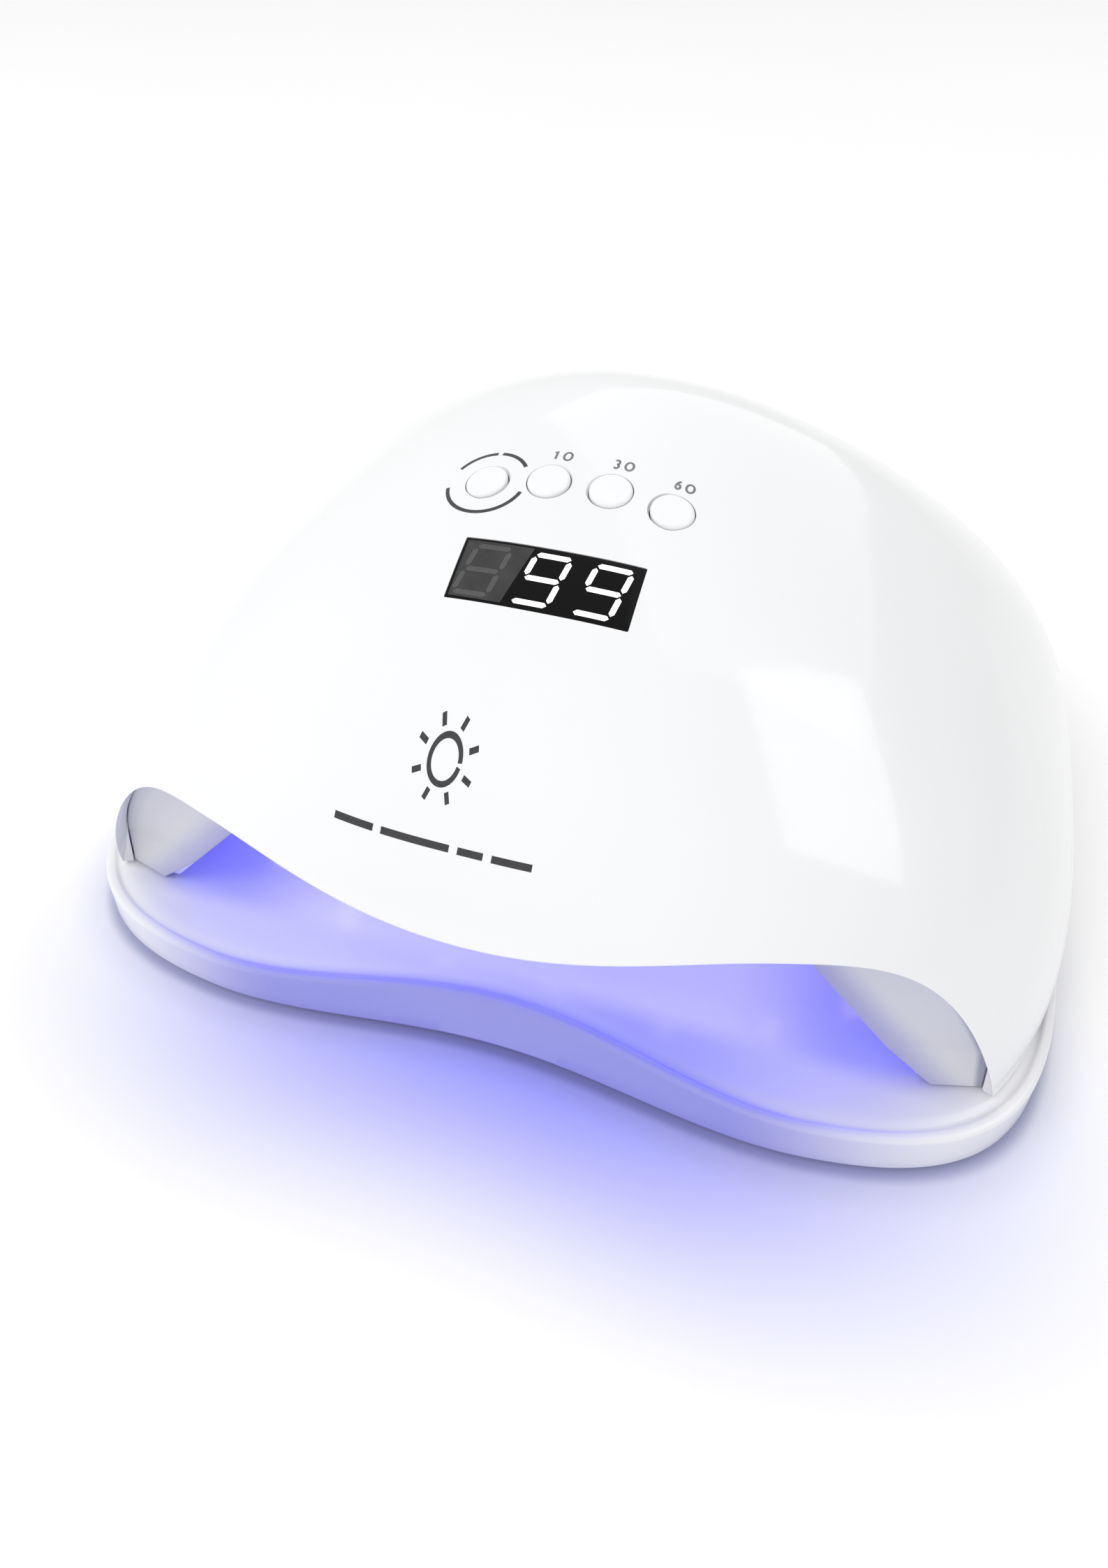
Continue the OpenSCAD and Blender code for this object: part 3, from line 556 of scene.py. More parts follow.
def halved(test, low, high, steps=40):
    """Where test turns true between low and high, by halving."""
    low, high = np.array(low, float), np.array(high, float)
    for _ in range(steps):
        middle = (low + high) / 2
        found = test(middle)
        high, low = np.where(found, middle, high), np.where(found, low, middle)
    return (low + high) / 2


def lip_share(a, t):
    """Height shares where the lip crosses the dome, inset by t, in directions a."""
    def above(h):
        p = dome(a, h, t)
        return p[..., 2] > lip_z(p[..., 0])
    return halved(above, np.zeros(len(a)), np.full(len(a), 0.9))


def roof_z(x, y):
    """Height of the dome over points near the crown."""
    x, y = np.broadcast_arrays(np.asarray(x, float), np.asarray(y, float))

    def outside(h):
        k, w, d = dome_shape(y < 0, h)
        return (np.abs(x) / w) ** k + (np.abs(y) / d) ** k > 1
    return RIM + RISE * halved(outside, np.full(x.shape, 0.3), np.full(x.shape, 0.999999))


def roof_frame(x, y):
    """Matrix of a frame that touches the roof over a point."""
    step = 0.5 * MM
    dy = float(roof_z(x, y + step) - roof_z(x, y - step)) / (2 * step)
    dx = float(roof_z(x + step, y) - roof_z(x - step, y)) / (2 * step)
    turn = Matrix.Rotation(math.atan(dy), 4, "X") @ Matrix.Rotation(-math.atan(dx), 4, "Y")
    return Matrix.Translation((x, y, float(roof_z(x, y)))) @ turn


def front_y(x, z):
    """The dome's front face at a width and a height."""
    h = (np.asarray(z, float) - RIM) / RISE
    k, w, d = dome_shape(True, h)
    return -d * (1 - (np.abs(x) / w) ** k) ** (1 / k)


CORNER_X = LIP_HALF / HALF_W
CORNER_Y = (1 - CORNER_X ** FRONT_SQUARE[0]) ** (1 / FRONT_SQUARE[0])
OPEN_HALF = math.pi / 2 - math.atan2(CORNER_Y, CORNER_X)


def shell_columns(open_count, rest_count):
    """Directions of the grid's columns, closer together towards the opening's corners."""
    opening = [-math.pi / 2 + OPEN_HALF * math.sin(math.pi / 2 * i / open_count)
               for i in range(-open_count, open_count + 1)]
    rest = [-math.pi / 2 + OPEN_HALF + i * (2 * math.pi - 2 * OPEN_HALF) / rest_count
            for i in range(1, rest_count)]
    return np.array(opening + rest), 2 * open_count + 1


def rounded_start(a, opened, t, radius, steps):
    """Rows that round off the shell's edge, from its face to the cut, and the share where the face starts."""
    start = np.zeros(len(a))
    start[:opened] = lip_share(a[:opened], t)
    start[0] = start[opened - 1] = 0
    edge = dome(a, start, t)
    other = dome(a, start, SHELL_T - t)
    other[:opened] = dome(a[:opened], lip_share(a[:opened], SHELL_T - t), SHELL_T - t)
    rate = np.linalg.norm(dome(a, start + 1e-4, t) - edge, axis=1) / 1e-4
    face_start = start + radius / rate
    up = dome(a, face_start, t)
    across = other - edge
    across *= radius / np.linalg.norm(across, axis=1)[:, None]
    rows = []
    for s in np.linspace(1, 0, steps, endpoint=False):
        rows.append(up * (1 - s) ** 2 + edge * 2 * s * (1 - s) + (edge + across) * s ** 2)
    return rows, face_start


OPEN_COLUMNS, REST_COLUMNS, SHELL_ROWS = 84, 230, 104
OUTER_EDGE, INNER_EDGE = (0.9 * MM, 6), (0.5 * MM, 4)  # radius and rows of the rounded edges
KEY_HOLE = [(0.16 * MM, -12 * MM), (0.16 * MM, -0.35 * MM), (0.45 * MM, 0.1 * MM), (0.6 * MM, 3 * MM)]
PANE_GAP, PANE_CORNER, JACK_HOLE_R = 0.2 * MM, 0.3 * MM, 7.4 * MM
VENTS = [s * (26 + 8 * i) * MM for s in (-1, 1) for i in range(4)]
VENT_SIZE, VENT_ROUND, VENT_Z = (3 * MM, 14 * MM), 1.4 * MM, 34 * MM


def shell_cutters():
    """Holes for the keys, the display pane, the power inlet and the vents."""
    cutters = [lathe([(BUTTON_R + wider, z) for wider, z in KEY_HOLE], key_frame(i), 72)
               for i in range(len(KEYS))]
    pane = round_rect(WINDOW[0] + PANE_GAP, WINDOW[1] + PANE_GAP, PANE_CORNER)
    cutters.append(prism(pane, -6 * MM, 5 * MM, roof_frame(0, WINDOW_Y)))
    cutters.append(lathe([(JACK_HOLE_R, -5 * MM), (JACK_HOLE_R, 8 * MM)], jack_frame(), 64))
    for x in VENTS:
        place = Matrix.Translation((x, REAR - 14 * MM, VENT_Z)) @ Matrix.Rotation(-math.pi / 2, 4, "X")
        cutters.append(prism(round_rect(*VENT_SIZE, VENT_ROUND), 0, 20 * MM, place))
    return cutters


def build_shell():
    a, opened = shell_columns(OPEN_COLUMNS, REST_COLUMNS)
    outer_edge, outer_start = rounded_start(a, opened, 0.0, *OUTER_EDGE)
    inner_edge, inner_start = rounded_start(a, opened, SHELL_T, *INNER_EDGE)
    climb = np.sin(np.pi / 2 * np.arange(SHELL_ROWS) / SHELL_ROWS)
    outer = [dome(a, outer_start + (1 - outer_start) * s) for s in climb]
    inner = [dome(a, inner_start + (1 - inner_start) * s, SHELL_T) for s in climb]
    rows = inner[::-1] + inner_edge[::-1] + outer_edge + outer
    points = np.concatenate(rows + [[(0, 0, TOP - SHELL_T), (0, 0, TOP)]])
    n, m = len(a), len(rows)
    faces = ring_faces(m, n)
    faces += fan(n * m, list(range(n)), flip=True)
    faces += fan(n * m + 1, list(range((m - 1) * n, m * n)))
    piece = new_piece("dome_shell", points, faces, "shell_white", "head")
    cut(piece, shell_cutters())
    finish_piece(piece, "shell_white", "head")
    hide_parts("top_shell")


# ---- controls ----

BUTTON_R, BUTTON_PITCH = 4 * MM, 11.7 * MM
BUTTON_ROWS = [-30.8 * MM, -29.8 * MM, -29.8 * MM, -30.8 * MM]
WINDOW, WINDOW_Y = (33 * MM, 12.8 * MM), -50.2 * MM
BOARD_TILT = math.atan2(frame["joints"][1]["axis"][1], -frame["joints"][1]["axis"][2])
KEYS = [("power_button", "power_key"), ("timer_button_1", "timer_key_1"),
        ("timer_button_2", "timer_key_2"), ("timer_button_3", "timer_key_3")]
KEY_PROUD, KEY_EDGE, KEY_DISH, DISH_SHARE = 0.45 * MM, 0.7 * MM, 0.14 * MM, 0.84
FLANGE_R, FLANGE_Z, STEM_R = 5.1 * MM, (2.7 * MM, 3.5 * MM), 1.5 * MM


def key_centre(i):
    return (i - 1.5) * BUTTON_PITCH, BUTTON_ROWS[i]


def key_frame(i):
    """The key's own frame: its axis is the joint's, and its origin is on the roof."""
    x, y = key_centre(i)
    return Matrix.Translation((x, y, float(roof_z(x, y)))) @ Matrix.Rotation(BOARD_TILT, 4, "X")


def jack_frame():
    """Frame at the rear wall with its axis along the power inlet's."""
    low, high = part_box("dc_jack")
    centre = (low + high) / 2
    return Matrix.Translation((centre.x, REAR, centre.z)) @ Matrix.Rotation(-math.pi / 2, 4, "X")


def on_roof(place, flat, lift):
    """Points of a roof frame's plane dropped along its axis onto the roof, then lifted."""
    m = np.array(place)
    axis, flat = m[:3, 2], np.asarray(flat, float)
    p = m[:3, 3] + flat[:, :1] * m[:3, 0] + flat[:, 1:] * m[:3, 1]
    for _ in range(5):
        p = p + np.outer((roof_z(p[:, 0], p[:, 1]) - p[:, 2]) * axis[2], axis)
    return p + np.outer(np.broadcast_to(lift, len(p)), axis)


def build_key(i, node, body):
    """Cap that follows the roof, with a dished top and a rounded edge, over a flange and a stem."""
    place, sides = key_frame(i), 72
    turn = np.linspace(0, 2 * np.pi, sides, endpoint=False)
    circle = np.stack([np.cos(turn), np.sin(turn)], 1)
    flat = [(s * BUTTON_R, KEY_PROUD - KEY_DISH * (1 - (s / DISH_SHARE) ** 2))
            for s in (0.12, 0.3, 0.5, 0.7, 0.8)]
    rounded = [(BUTTON_R - KEY_EDGE * (1 - math.sin(b)), KEY_PROUD - KEY_EDGE * (1 - math.cos(b)))
               for b in np.linspace(0.15, math.pi / 2, 7)]
    rings = [on_roof(place, circle * r, lift) for r, lift in flat + rounded]
    deep = (place.inverted() @ stem_foot(node)).z
    flange_low, flange_top = (deep + z for z in FLANGE_Z)
    m = np.array(place)
    for r, z in ((BUTTON_R, flange_top), (FLANGE_R, flange_top), (FLANGE_R, flange_low),
                 (STEM_R, flange_low), (STEM_R, deep)):
        rings.append(m[:3, 3] + circle[:, :1] * r * m[:3, 0] + circle[:, 1:] * r * m[:3, 1] + z * m[:3, 2])
    crown = on_roof(place, [(0, 0)], KEY_PROUD - KEY_DISH)
    foot = [m[:3, 3] + deep * m[:3, 2]]
    faces = [tuple(reversed(f)) for f in ring_faces(len(rings), sides)]
    n = len(rings) * sides
    faces += fan(n, list(range(sides))) + fan(n + 1, list(range(n - sides, n)), flip=True)
    piece = new_piece(node + "_cap", np.concatenate(rings + [crown, foot]), faces, "button_white", body,
                      40)
    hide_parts(node)


def stem_foot(node):
    """Lowest middle point of a key's stem, read from the CAD mesh."""
    axis = Matrix.Rotation(BOARD_TILT, 3, "X") @ Vector((0, 0, 1))
    verts = [v.co.copy() for v in frame["nodes"][node].data.vertices]
    deepest = min(v.dot(axis) for v in verts)
    foot = [v for v in verts if v.dot(axis) < deepest + 0.01 * MM]
    return sum(foot, Vector()) / len(foot)


def sheet(name, top, low, material):
    """Closed thin sheet between two matching outlines, each a list of points."""
    n = len(top)
    faces = [(n + k, n + (k + 1) % n, (k + 1) % n, k) for k in range(n)]
    faces += [tuple(range(n)), tuple(reversed(range(n, 2 * n)))]
    return new_piece(name, np.concatenate([top, low]), faces, material, "head")


def grid_sheet(name, corners, cells, place, lift, thick, edge, material):
    """Closed sheet over a grid between four corners, laid along the roof, with its border eased down."""
    columns, rows = cells
    u, v = np.meshgrid(np.linspace(0, 1, columns + 1), np.linspace(0, 1, rows + 1))
    u, v = u.reshape(-1, 1), v.reshape(-1, 1)
    a, b, c, d = np.array(corners, float)
    flat = (a * (1 - u) + b * u) * (1 - v) + (d * (1 - u) + c * u) * v
    rim = ((u == 0) | (u == 1) | (v == 0) | (v == 1)).ravel()
    top = on_roof(place, flat, np.where(rim, lift - edge, lift))
    low = on_roof(place, flat, lift - thick)
    n, across = len(top), columns + 1
    faces = []
    for k in (j * across + i for j in range(rows) for i in range(columns)):
        faces.append((k, k + 1, k + across + 1, k + across))
        faces.append((n + k, n + k + across, n + k + across + 1, n + k + 1))
    border = (list(range(across)) + [j * across + columns for j in range(1, rows + 1)]
              + [rows * across + i for i in range(columns - 1, -1, -1)]
              + [j * across for j in range(rows - 1, 0, -1)])
    faces += [(i, n + i, n + j, j) for i, j in zip(border, border[1:] + border[:1])]
    return new_piece(name, np.concatenate([top, low]), faces, material, "head")


def build_window():
    place = roof_frame(0, WINDOW_Y)
    w, d = WINDOW
    corners = [(-w / 2, -d / 2), (w / 2, -d / 2), (w / 2, d / 2), (-w / 2, d / 2)]
    pane = grid_sheet("display_pane", corners, (34, 14), place, -0.02 * MM, 1.7 * MM, 0.12 * MM,
                      "window_black")
    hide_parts("display_window")
    build_digits(place)


SEGMENTS = {"8": "abcdefg", "9": "abcdfg"}


def segment_outlines(digit, height, width, bar):
    """Outlines of a seven-segment digit's bars, standing on y = 0 and leaning to the right."""
    lean, gap, half, b = 0.17, 0.04 * bar, height / 2, bar / 2

    def across(y):
        low, high = b + gap, width - b - gap
        return [(low, y), (low + b, y - b), (high - b, y - b), (high, y), (high - b, y + b), (low + b, y + b)]

    def upright(x, y0, y1):
        low, high = y0 + b + gap, y1 - b - gap
        return [(x, low), (x + b, low + b), (x + b, high - b), (x, high), (x - b, high - b), (x - b, low + b)]
    top, right = height - b, width - b
    parts = {"a": across(top), "g": across(half), "d": across(b), "b": upright(right, half, top),
             "c": upright(right, b, half), "f": upright(b, half, top), "e": upright(b, b, half)}
    return [[(x + lean * y, y) for x, y in parts[s]] for s in SEGMENTS[digit]]


def build_digits(place):
    w, d = WINDOW
    height, width, bar = 10.8 * MM, 7.3 * MM, 1.0 * MM
    left, pitch, foot = -w / 2 + 0.5 * MM, 11.0 * MM, -d / 2 + 0.9 * MM
    inset, panel_low, panel_high = 0.5 * MM, 10.2 * MM, 13.0 * MM

    def lay(name, outline, lift, material):
        flat = dense(outline, 0.8 * MM)
        sheet(name, on_roof(place, flat, lift), on_roof(place, flat, lift - 0.06 * MM), material)
    grid_sheet("display_unlit_panel",
               [(-w / 2 + inset, -d / 2 + inset), (-w / 2 + panel_low, -d / 2 + inset),
                (-w / 2 + panel_high, d / 2 - inset), (-w / 2 + inset, d / 2 - inset)],
               (12, 14), place, 0.0, 0.05 * MM, 0.01 * MM, "unlit_panel")
    for place_index, digit in enumerate("899"):
        for k, outline in enumerate(segment_outlines(digit, height, width, bar)):
            moved = [(x + left + pitch * place_index, y + foot) for x, y in outline]
            lay(f"digit_{place_index + 1}_bar_{k + 1}", moved, 0.03 * MM,
                "digit_light" if place_index else "unlit_bar")


def dense(outline, step):
    """The same outline with points no further apart than step."""
    out = []
    for k, (x0, y0) in enumerate(outline):
        x1, y1 = outline[(k + 1) % len(outline)]
        n = max(1, int(math.hypot(x1 - x0, y1 - y0) / step))
        out += [(x0 + (x1 - x0) * s / n, y0 + (y1 - y0) * s / n) for s in range(n)]
    return out


def stroke(points, width):
    """Outline of a line of the given width along 2-D points."""
    p = np.array(points, float)
    t = np.vstack([p[1:], 2 * p[-1] - p[-2]]) - np.vstack([2 * p[0] - p[1], p[:-1]])
    t /= np.linalg.norm(t, axis=1)[:, None]
    side = np.stack([-t[:, 1], t[:, 0]], 1) * width / 2
    return [tuple(q) for q in p + side] + [tuple(q) for q in (p - side)[::-1]]


def arc(cx, cy, r, start, end, steps):
    return [(cx + r * math.cos(math.radians(start + (end - start) * k / steps)),
             cy + r * math.sin(math.radians(start + (end - start) * k / steps))) for k in range(steps + 1)]


PRINT_PROUD, PRINT_DEEP = 0.02 * MM, 0.06 * MM


def ink(name, points, width, lay, material="print_ink"):
    """Printed line along 2-D points, laid on the shell by lay(points, lift)."""
    outline = stroke(points, width)
    n = len(points)
    both = outline[:n] + outline[n:][::-1]
    m = 2 * n
    faces = [(n, 0, m, m + n), (n - 1, 2 * n - 1, m + 2 * n - 1, m + n - 1)]
    for k in range(n - 1):
        j = k + 1
        faces += [(j, k, n + k, n + j), (m + k, m + j, m + n + j, m + n + k),
                  (k, j, m + j, m + k), (n + j, n + k, m + n + k, m + n + j)]
    points = np.concatenate([lay(both, PRINT_PROUD), lay(both, -PRINT_DEEP)])
    return new_piece(name, points, faces, material, "head")


DIGIT_STROKES = {
    "0": [arc(0.5, 0.5, 0.5, 0, 360, 20)],
    "1": [[(0.25, 0.78), (0.55, 1.0), (0.55, 0.0)]],
    "3": [arc(0.45, 0.74, 0.27, 150, -80, 10) + arc(0.45, 0.27, 0.28, 80, -150, 10)],
    "6": [[(0.75, 1.0), (0.45, 0.8), (0.22, 0.45)] + arc(0.5, 0.3, 0.29, 160, -190, 14)],
}


def build_key_marks():
    def roof(place):
        return lambda flat, lift: on_roof(place, flat, lift)
    height, wide, pitch, line = 2.1 * MM, 1.5 * MM, 2.3 * MM, 0.45 * MM
    for i, number in ((1, "10"), (2, "30"), (3, "60")):
        x, y = key_centre(i)
        place = roof_frame(x + 0.6 * MM, y + 6.6 * MM)
        for k, digit in enumerate(number):
            for s, points in enumerate(DIGIT_STROKES[digit]):
                moved = [(px * wide + (k - 1) * pitch + 0.3 * MM, (py - 0.5) * height) for px, py in points]
                ink(f"key_number_{number}_{k + 1}_{s + 1}", moved, line, roof(place), material="number_ink")
    place = roof_frame(*key_centre(0))
    for k, (start, end) in enumerate(((34, 86), (93, 152), (192, 344))):
        ink(f"power_arc_{k + 1}", arc(0, 0, 7.7 * MM, start, end, 24), 0.75 * MM, roof(place))


def on_front(flat, lift):
    """Points of the dome's front face at widths and heights, lifted square to it."""
    x, z = np.array(flat, float).T
    step = 0.4 * MM
    p = np.stack([x, front_y(x, z), z], 1)
    slope_x = (front_y(x + step, z) - front_y(x - step, z)) / (2 * step)
    slope_z = (front_y(x, z + step) - front_y(x, z - step)) / (2 * step)
    normal = np.stack([slope_x, -np.ones(len(x)), slope_z], 1)
    return p + normal / np.linalg.norm(normal, axis=1)[:, None] * lift


def build_front_mark():
    """Plain pictogram of a light with rays over a broken line, in place of the printed name."""
    cx, cz = -7.5 * MM, 80.5 * MM
    ink("mark_light", arc(cx, cz, 2.7 * MM, 0, 350, 40), 0.75 * MM, on_front)
    for k in range(8):
        b = math.radians(45 * k + 22.5)
        ink(f"mark_ray_{k + 1}", [(cx + r * MM * math.cos(b), cz + r * MM * 0.9 * math.sin(b))
                                  for r in (4.1, 4.9, 5.7)], 0.75 * MM, on_front)
    for k, (start, end) in enumerate(((-25, -17.5), (-16, -3.5), (-2, 2.5), (4, 11))):
        pts = [(start * MM + (end - start) * MM * s / 12, 70.5 * MM) for s in range(13)]
        ink(f"mark_line_{k + 1}", pts, 1.0 * MM, on_front)


def build_jack_landing():
    """Flat boss that the power inlet's flange seats on, part of the shell's moulding."""
    low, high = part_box("dc_jack")
    seat = high.y - 1.45 * MM
    place = Matrix.Translation((0, seat, (low.z + high.z) / 2)) @ Matrix.Rotation(-math.pi / 2, 4, "X")
    points, faces = turned([(5.6 * MM, -6.4 * MM), (8.8 * MM, -6.4 * MM), (8.8 * MM, -0.35 * MM),
                            (8.45 * MM, 0), (5.9 * MM, 0), (5.6 * MM, -0.3 * MM)], place, 72)
    new_piece("inlet_landing", points, faces, "shell_white", "head")


# ---- base and opening panel ----

def base_ring(t, z, count=720):
    """Base outline inset by t at height z; the waist is deeper towards the top."""
    a = np.linspace(0, 2 * np.pi, count, endpoint=False)
    up = (z - BASE_BOTTOM - BASE_FOOT) / (BASE_TOP - BASE_BOTTOM - BASE_FOOT)
    waist = WAIST + WAIST_LEAN * min(1, max(0, up))
    front = np.sin(a) < 0
    q = square_round(a, np.where(front, BASE_SQUARE, REAR_SQUARE[0]))
    x = (HALF_W - t) * q * np.cos(a)
    y = (np.where(front, BASE_FRONT, REAR) - t) * q * np.sin(a)
    pull = np.where(front & (np.abs(x) < WAIST_HALF), waist * np.cos(np.pi / 2 * x / WAIST_HALF) ** 2, 0)
    return np.stack([x, y + pull, np.full(count, z)], 1)


# Inset and depth in mm across the groove that runs round the base's top
GROOVE = ((1.9, 0.01), (2.2, 0.08), (2.45, 0.3), (2.7, 0.52), (2.95, 0.6), (3.3, 0.54), (3.8, 0.36),
          (4.5, 0.16), (5.3, 0.04), (6.2, 0), (9, 0))
DISC_HOLE_R, PEG_HOLE_R, HOLE_DEPTH, HOLE_FLARE = 5.05 * MM, 2.52 * MM, 1.6 * MM, 0.3 * MM


def build_base():
    """Open tray with a rounded foot and top edge, a groove round its top, and pockets for discs and pegs."""
    bottom, top = BASE_BOTTOM, BASE_TOP
    wall = 2.2 * MM
    inside = top - 2.4 * MM
    foot, draft, radius = BASE_FOOT, 0.4 * MM, 1.1 * MM
    section = [(wall, inside), (wall, bottom + 0.1 * MM), (wall - 0.1 * MM, bottom)]
    section += [(foot * (1 - math.sin(b)), bottom + foot * (1 - math.cos(b)))
                for b in np.linspace(0, math.pi / 2, 8)]
    section += [(draft * s, bottom + foot + (top - radius - bottom - foot) * s) for s in (0.3, 0.6, 0.9)]
    section += [(draft + radius * (1 - math.cos(b)), top - radius * (1 - math.sin(b)))
                for b in np.linspace(0, math.pi / 2, 8)]
    section += [(t * MM, top - deep * MM) for t, deep in GROOVE]
    rings = [base_ring(t, z) for t, z in section]
    n, m = len(rings[0]), len(rings)
    points = np.concatenate(rings)
    faces = ring_faces(m, n) + [tuple(reversed(range(n))), tuple(range((m - 1) * n, m * n))]
    piece = new_piece("base_tray", points, faces, "base_white", "base")
    cutters = []
    for (x, y), r in base_holes():
        profile = [(r, -HOLE_DEPTH), (r, -0.25 * MM), (r + HOLE_FLARE, 0.05 * MM), (r + HOLE_FLARE, 1 * MM)]
        cutters.append(lathe(profile, Matrix.Translation((x, y, top)), 48))
    cut(piece, cutters)
    finish_piece(piece, "base_white", "base")
    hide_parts("base_cover")


def island_centres(node, gap):
    """Plan centres of a node's separate round solids."""
    near = 8 * MM
    groups = []
    for p in np.array([v.co for v in frame["nodes"][node].data.vertices])[:, :2]:
        for group in groups:
            if np.min(np.linalg.norm(np.array(group) - p, axis=1)) < gap:
                group.append(p)
                break
        else:
            groups.append([p])
    centres = []
    for group in map(np.array, groups):
        centre = (group.min(0) + group.max(0)) / 2
        if all(np.linalg.norm(other - centre) >= near for other in centres):
            centres.append(centre)
    return centres


def base_holes():
    """Plan centre and radius of each pocket in the base's top."""
    return [(centre, r) for node, gap, r in (("base_discs", 12 * MM, DISC_HOLE_R),
                                             ("locating_pegs", 8 * MM, PEG_HOLE_R))
            for centre in island_centres(node, gap)]


CHAMBER_HALF, CEILING, LEAN = 84 * MM, 56 * MM, math.radians(47.5)
CHAMBER_ROUND = 12 * MM
MOUTH_FRONT = -72 * MM
CHAMBER_BACK = 62 * MM
PANEL_T, PANEL_GAP, PANEL_ROUND = 1.2 * MM, 0.45 * MM, 2.4 * MM
REVEAL, REVEAL_DEPTH, DISH = 0.2 * MM, 0.35 * MM, 0.7 * MM
# Distance in from the mouth or the reveal, and depth, in mm, across the panel's rounded borders
MOUTH_EDGE = ((0, 0.9), (0, 0.45), (0.1, 0.12), (0.45, 0))
LIP_EDGE = ((0.3, 0), (0.06, 0.1), (0, 0.25))


def chamber_outline(steps=24):
    """The chamber's section above the rim, from its right foot over the ceiling to its left foot."""
    reach, high = CHAMBER_HALF * math.sin(LEAN), CEILING - RIM
    cx = (reach - CHAMBER_ROUND - math.cos(LEAN) * (high - CHAMBER_ROUND)) / math.sin(LEAN)
    half = [(reach / math.sin(LEAN), 0.0)]
    half += [(cx + CHAMBER_ROUND * math.cos(b), high - CHAMBER_ROUND + CHAMBER_ROUND * math.sin(b))
             for b in np.linspace(math.pi / 2 - LEAN, math.pi / 2, steps)]
    return half + [(-x, z) for x, z in reversed(half)]


def outline_hit(outline, a):
    """The outline's furthest point from the origin in a direction."""
    d = np.array([math.cos(a), math.sin(a)])
    best = 0.0
    for (x0, z0), (x1, z1) in zip(outline, outline[1:]):
        e = np.array([x1 - x0, z1 - z0])
        den = d[0] * e[1] - d[1] * e[0]
        if abs(den) < 1e-12:
            continue
        along = (x0 * d[1] - z0 * d[0]) / den
        far = (x0 * e[1] - z0 * e[0]) / den
        if -1e-6 <= along <= 1 + 1e-6 and far > best:
            best = far
    return d * best


def panel_mouth(lip):
    """Chamber mouth points that face the lip's points, with the lower corners rounded off."""
    outline = chamber_outline()
    mouth = []
    for p in lip:
        x, z = outline_hit(outline, math.atan2(max(0.0, p[2] - RIM), p[0]))
        low = PANEL_ROUND - min(z, PANEL_ROUND)
        flare = PANEL_ROUND - math.sqrt(PANEL_ROUND ** 2 - low ** 2)
        mouth.append((x + math.copysign(flare, x), MOUTH_FRONT, RIM + PANEL_GAP + z))
    return np.array(mouth)


def build_panel():
    """Panel from the lip to the chamber's mouth, slightly dished, inside a narrow shadow gap."""
    count = 120
    a = np.array([-math.pi / 2 + OPEN_HALF * math.sin(math.pi / 2 * math.sin(math.pi / 2 * i / count))
                  for i in range(-count, count + 1)])
    t = SHELL_T + EDGE_GAP
    share = lip_share(a, t)
    share[0] = share[-1] = 0
    along = np.stack([np.gradient(a) * HALF_W, np.gradient(share) * RISE], 1)
    inward = np.stack([-along[:, 1], along[:, 0]], 1) / np.linalg.norm(along, axis=1)[:, None]
    lip = dome(a + inward[:, 0] * PANEL_SINK / HALF_W,
               np.clip(share + inward[:, 1] * PANEL_SINK / RISE, 0, 1), t)
    lip[0, 2] = lip[-1, 2] = RIM
    mouth = panel_mouth(lip)
    lip[:, 2] = np.maximum(lip[:, 2], RIM + PANEL_GAP)
    reach = np.linalg.norm(lip - mouth, axis=1)[:, None]
    back = np.array([0, 1.0, 0])

    def row(s, deep):
        return mouth + (lip - mouth) * s + back * deep
    edge = 1 - REVEAL / reach
    fade = np.clip((lip[:, 2:] - RIM) / (8 * MM), 0, 1)
    rows = 16
    face = [row(edge * j / rows, DISH * math.sin(math.pi * j / rows) * fade) for j in range(1, rows)]
    front = [row(s * MM / reach, deep * MM) for s, deep in MOUTH_EDGE] + face
    front += [row(1 - (REVEAL + s * MM) / reach, deep * MM) for s, deep in LIP_EDGE]
    front.append(row(edge, REVEAL_DEPTH))
    behind = [row(1, REVEAL_DEPTH), row(1, REVEAL_DEPTH + PANEL_T)]
    behind += [row(edge * j / rows, PANEL_T + DISH + REVEAL_DEPTH * (j / rows) ** 6)
               for j in range(rows, -1, -2)]
    rings = front + behind
    n, m = len(a), len(rings)
    faces = ring_faces(m, n, wrap_rows=True, wrap_columns=False)
    faces += [tuple(j * n for j in range(m)), tuple(j * n + n - 1 for j in reversed(range(m)))]
    points = np.concatenate(rings)
    piece = new_piece("opening_panel", points, [tuple(reversed(f)) for f in faces], "bezel_grey", "head",
                      40)
    away = piece.data.attributes.new("from_lip", "FLOAT", "POINT")
    away.data.foreach_set("value", np.linalg.norm(points - np.tile(lip, (m, 1)), axis=1).astype(np.float32))
    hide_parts("mouth_bezel")


# ---- carried-over nodes, floor and lights ----

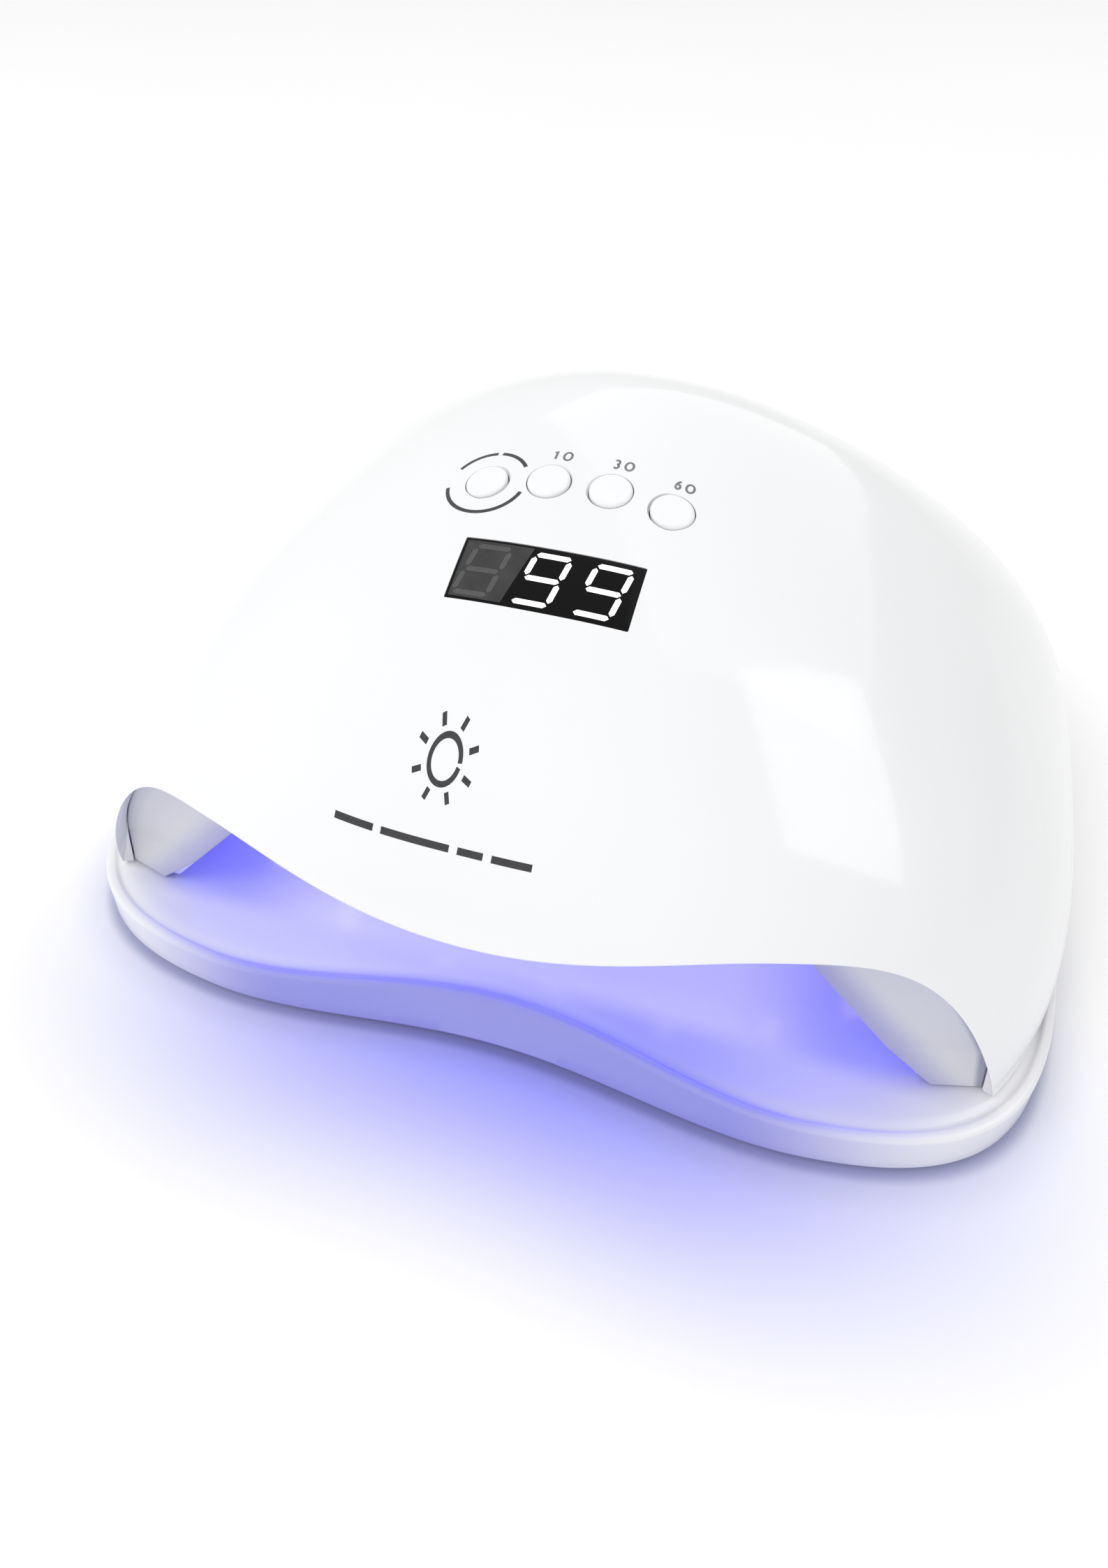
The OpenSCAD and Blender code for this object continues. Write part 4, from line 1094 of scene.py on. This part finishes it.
def dress_nodes():
    slots = {s["node"]: s["material_slot"] for s in frame["record"]["subparts"]}
    for name, node in frame["nodes"].items():
        node.data.materials.clear()
        node.data.materials.append(MATERIALS[slots[name]])


def add_floor():
    size, cells = 8.0, 40
    mesh = bmesh.new()
    bmesh.ops.create_grid(mesh, x_segments=cells, y_segments=cells, size=size / 2)
    data = bpy.data.meshes.new("floor")
    mesh.to_mesh(data)
    mesh.free()
    floor = bpy.data.objects.new("floor", data)
    bpy.context.scene.collection.objects.link(floor)
    floor.data.materials.append(MATERIALS["floor_paper"])


def add_lights():
    world = bpy.data.worlds.new("studio")
    world.use_nodes = True
    world.node_tree.nodes["Background"].inputs["Color"].default_value = (1, 1, 1, 1)
    world.node_tree.nodes["Background"].inputs["Strength"].default_value = 0.88
    bpy.context.scene.world = world
    area_light("key_softbox", (-0.75, -0.75, 1.5), (0, -0.03, 0.05), (1.0, 1.0), 3.3, seen=False)
    gloss = [area_light("right_softbox", (0.668, 0.001, 0.617), (0.053, -0.061, 0.079), (0.49, 0.58), 1.3,
                        across=(0.281, 0.287, -0.284)),
             area_light("back_softbox", (0.347, 0.906, 1.05), (0.057, -0.007, 0.086), (2.1, 1.5), 0.42,
                        across=(0.593, -0.486, 0.643))]
    for light in gloss:
        light.visible_diffuse = False
    # the lit chamber, moving with the head
    area_light("chamber_top", (0, -0.005, CEILING - 4.5 * MM), (0, -0.005, 0), (0.11, 0.07), 0.75,
               VIOLET, (0, 1, 0), "head", seen=False)
    for side in (-1, 1):
        area_light(f"chamber_side_{'left' if side < 0 else 'right'}", (side * 0.056, -0.005, 0.036),
                   (0, -0.005, 0.010), (0.10, 0.025), 0.8, VIOLET, (0, 1, 0), "head", seen=False)


add_camera()
MATERIALS = make_materials()
dress_nodes()
build_shell()
build_window()
for index, (key_node, key_body) in enumerate(KEYS):
    build_key(index, key_node, key_body)
build_key_marks()
build_front_mark()
build_jack_landing()
build_base()
build_panel()
add_floor()
add_lights()
bpy.context.scene.view_settings.view_transform = "Standard"
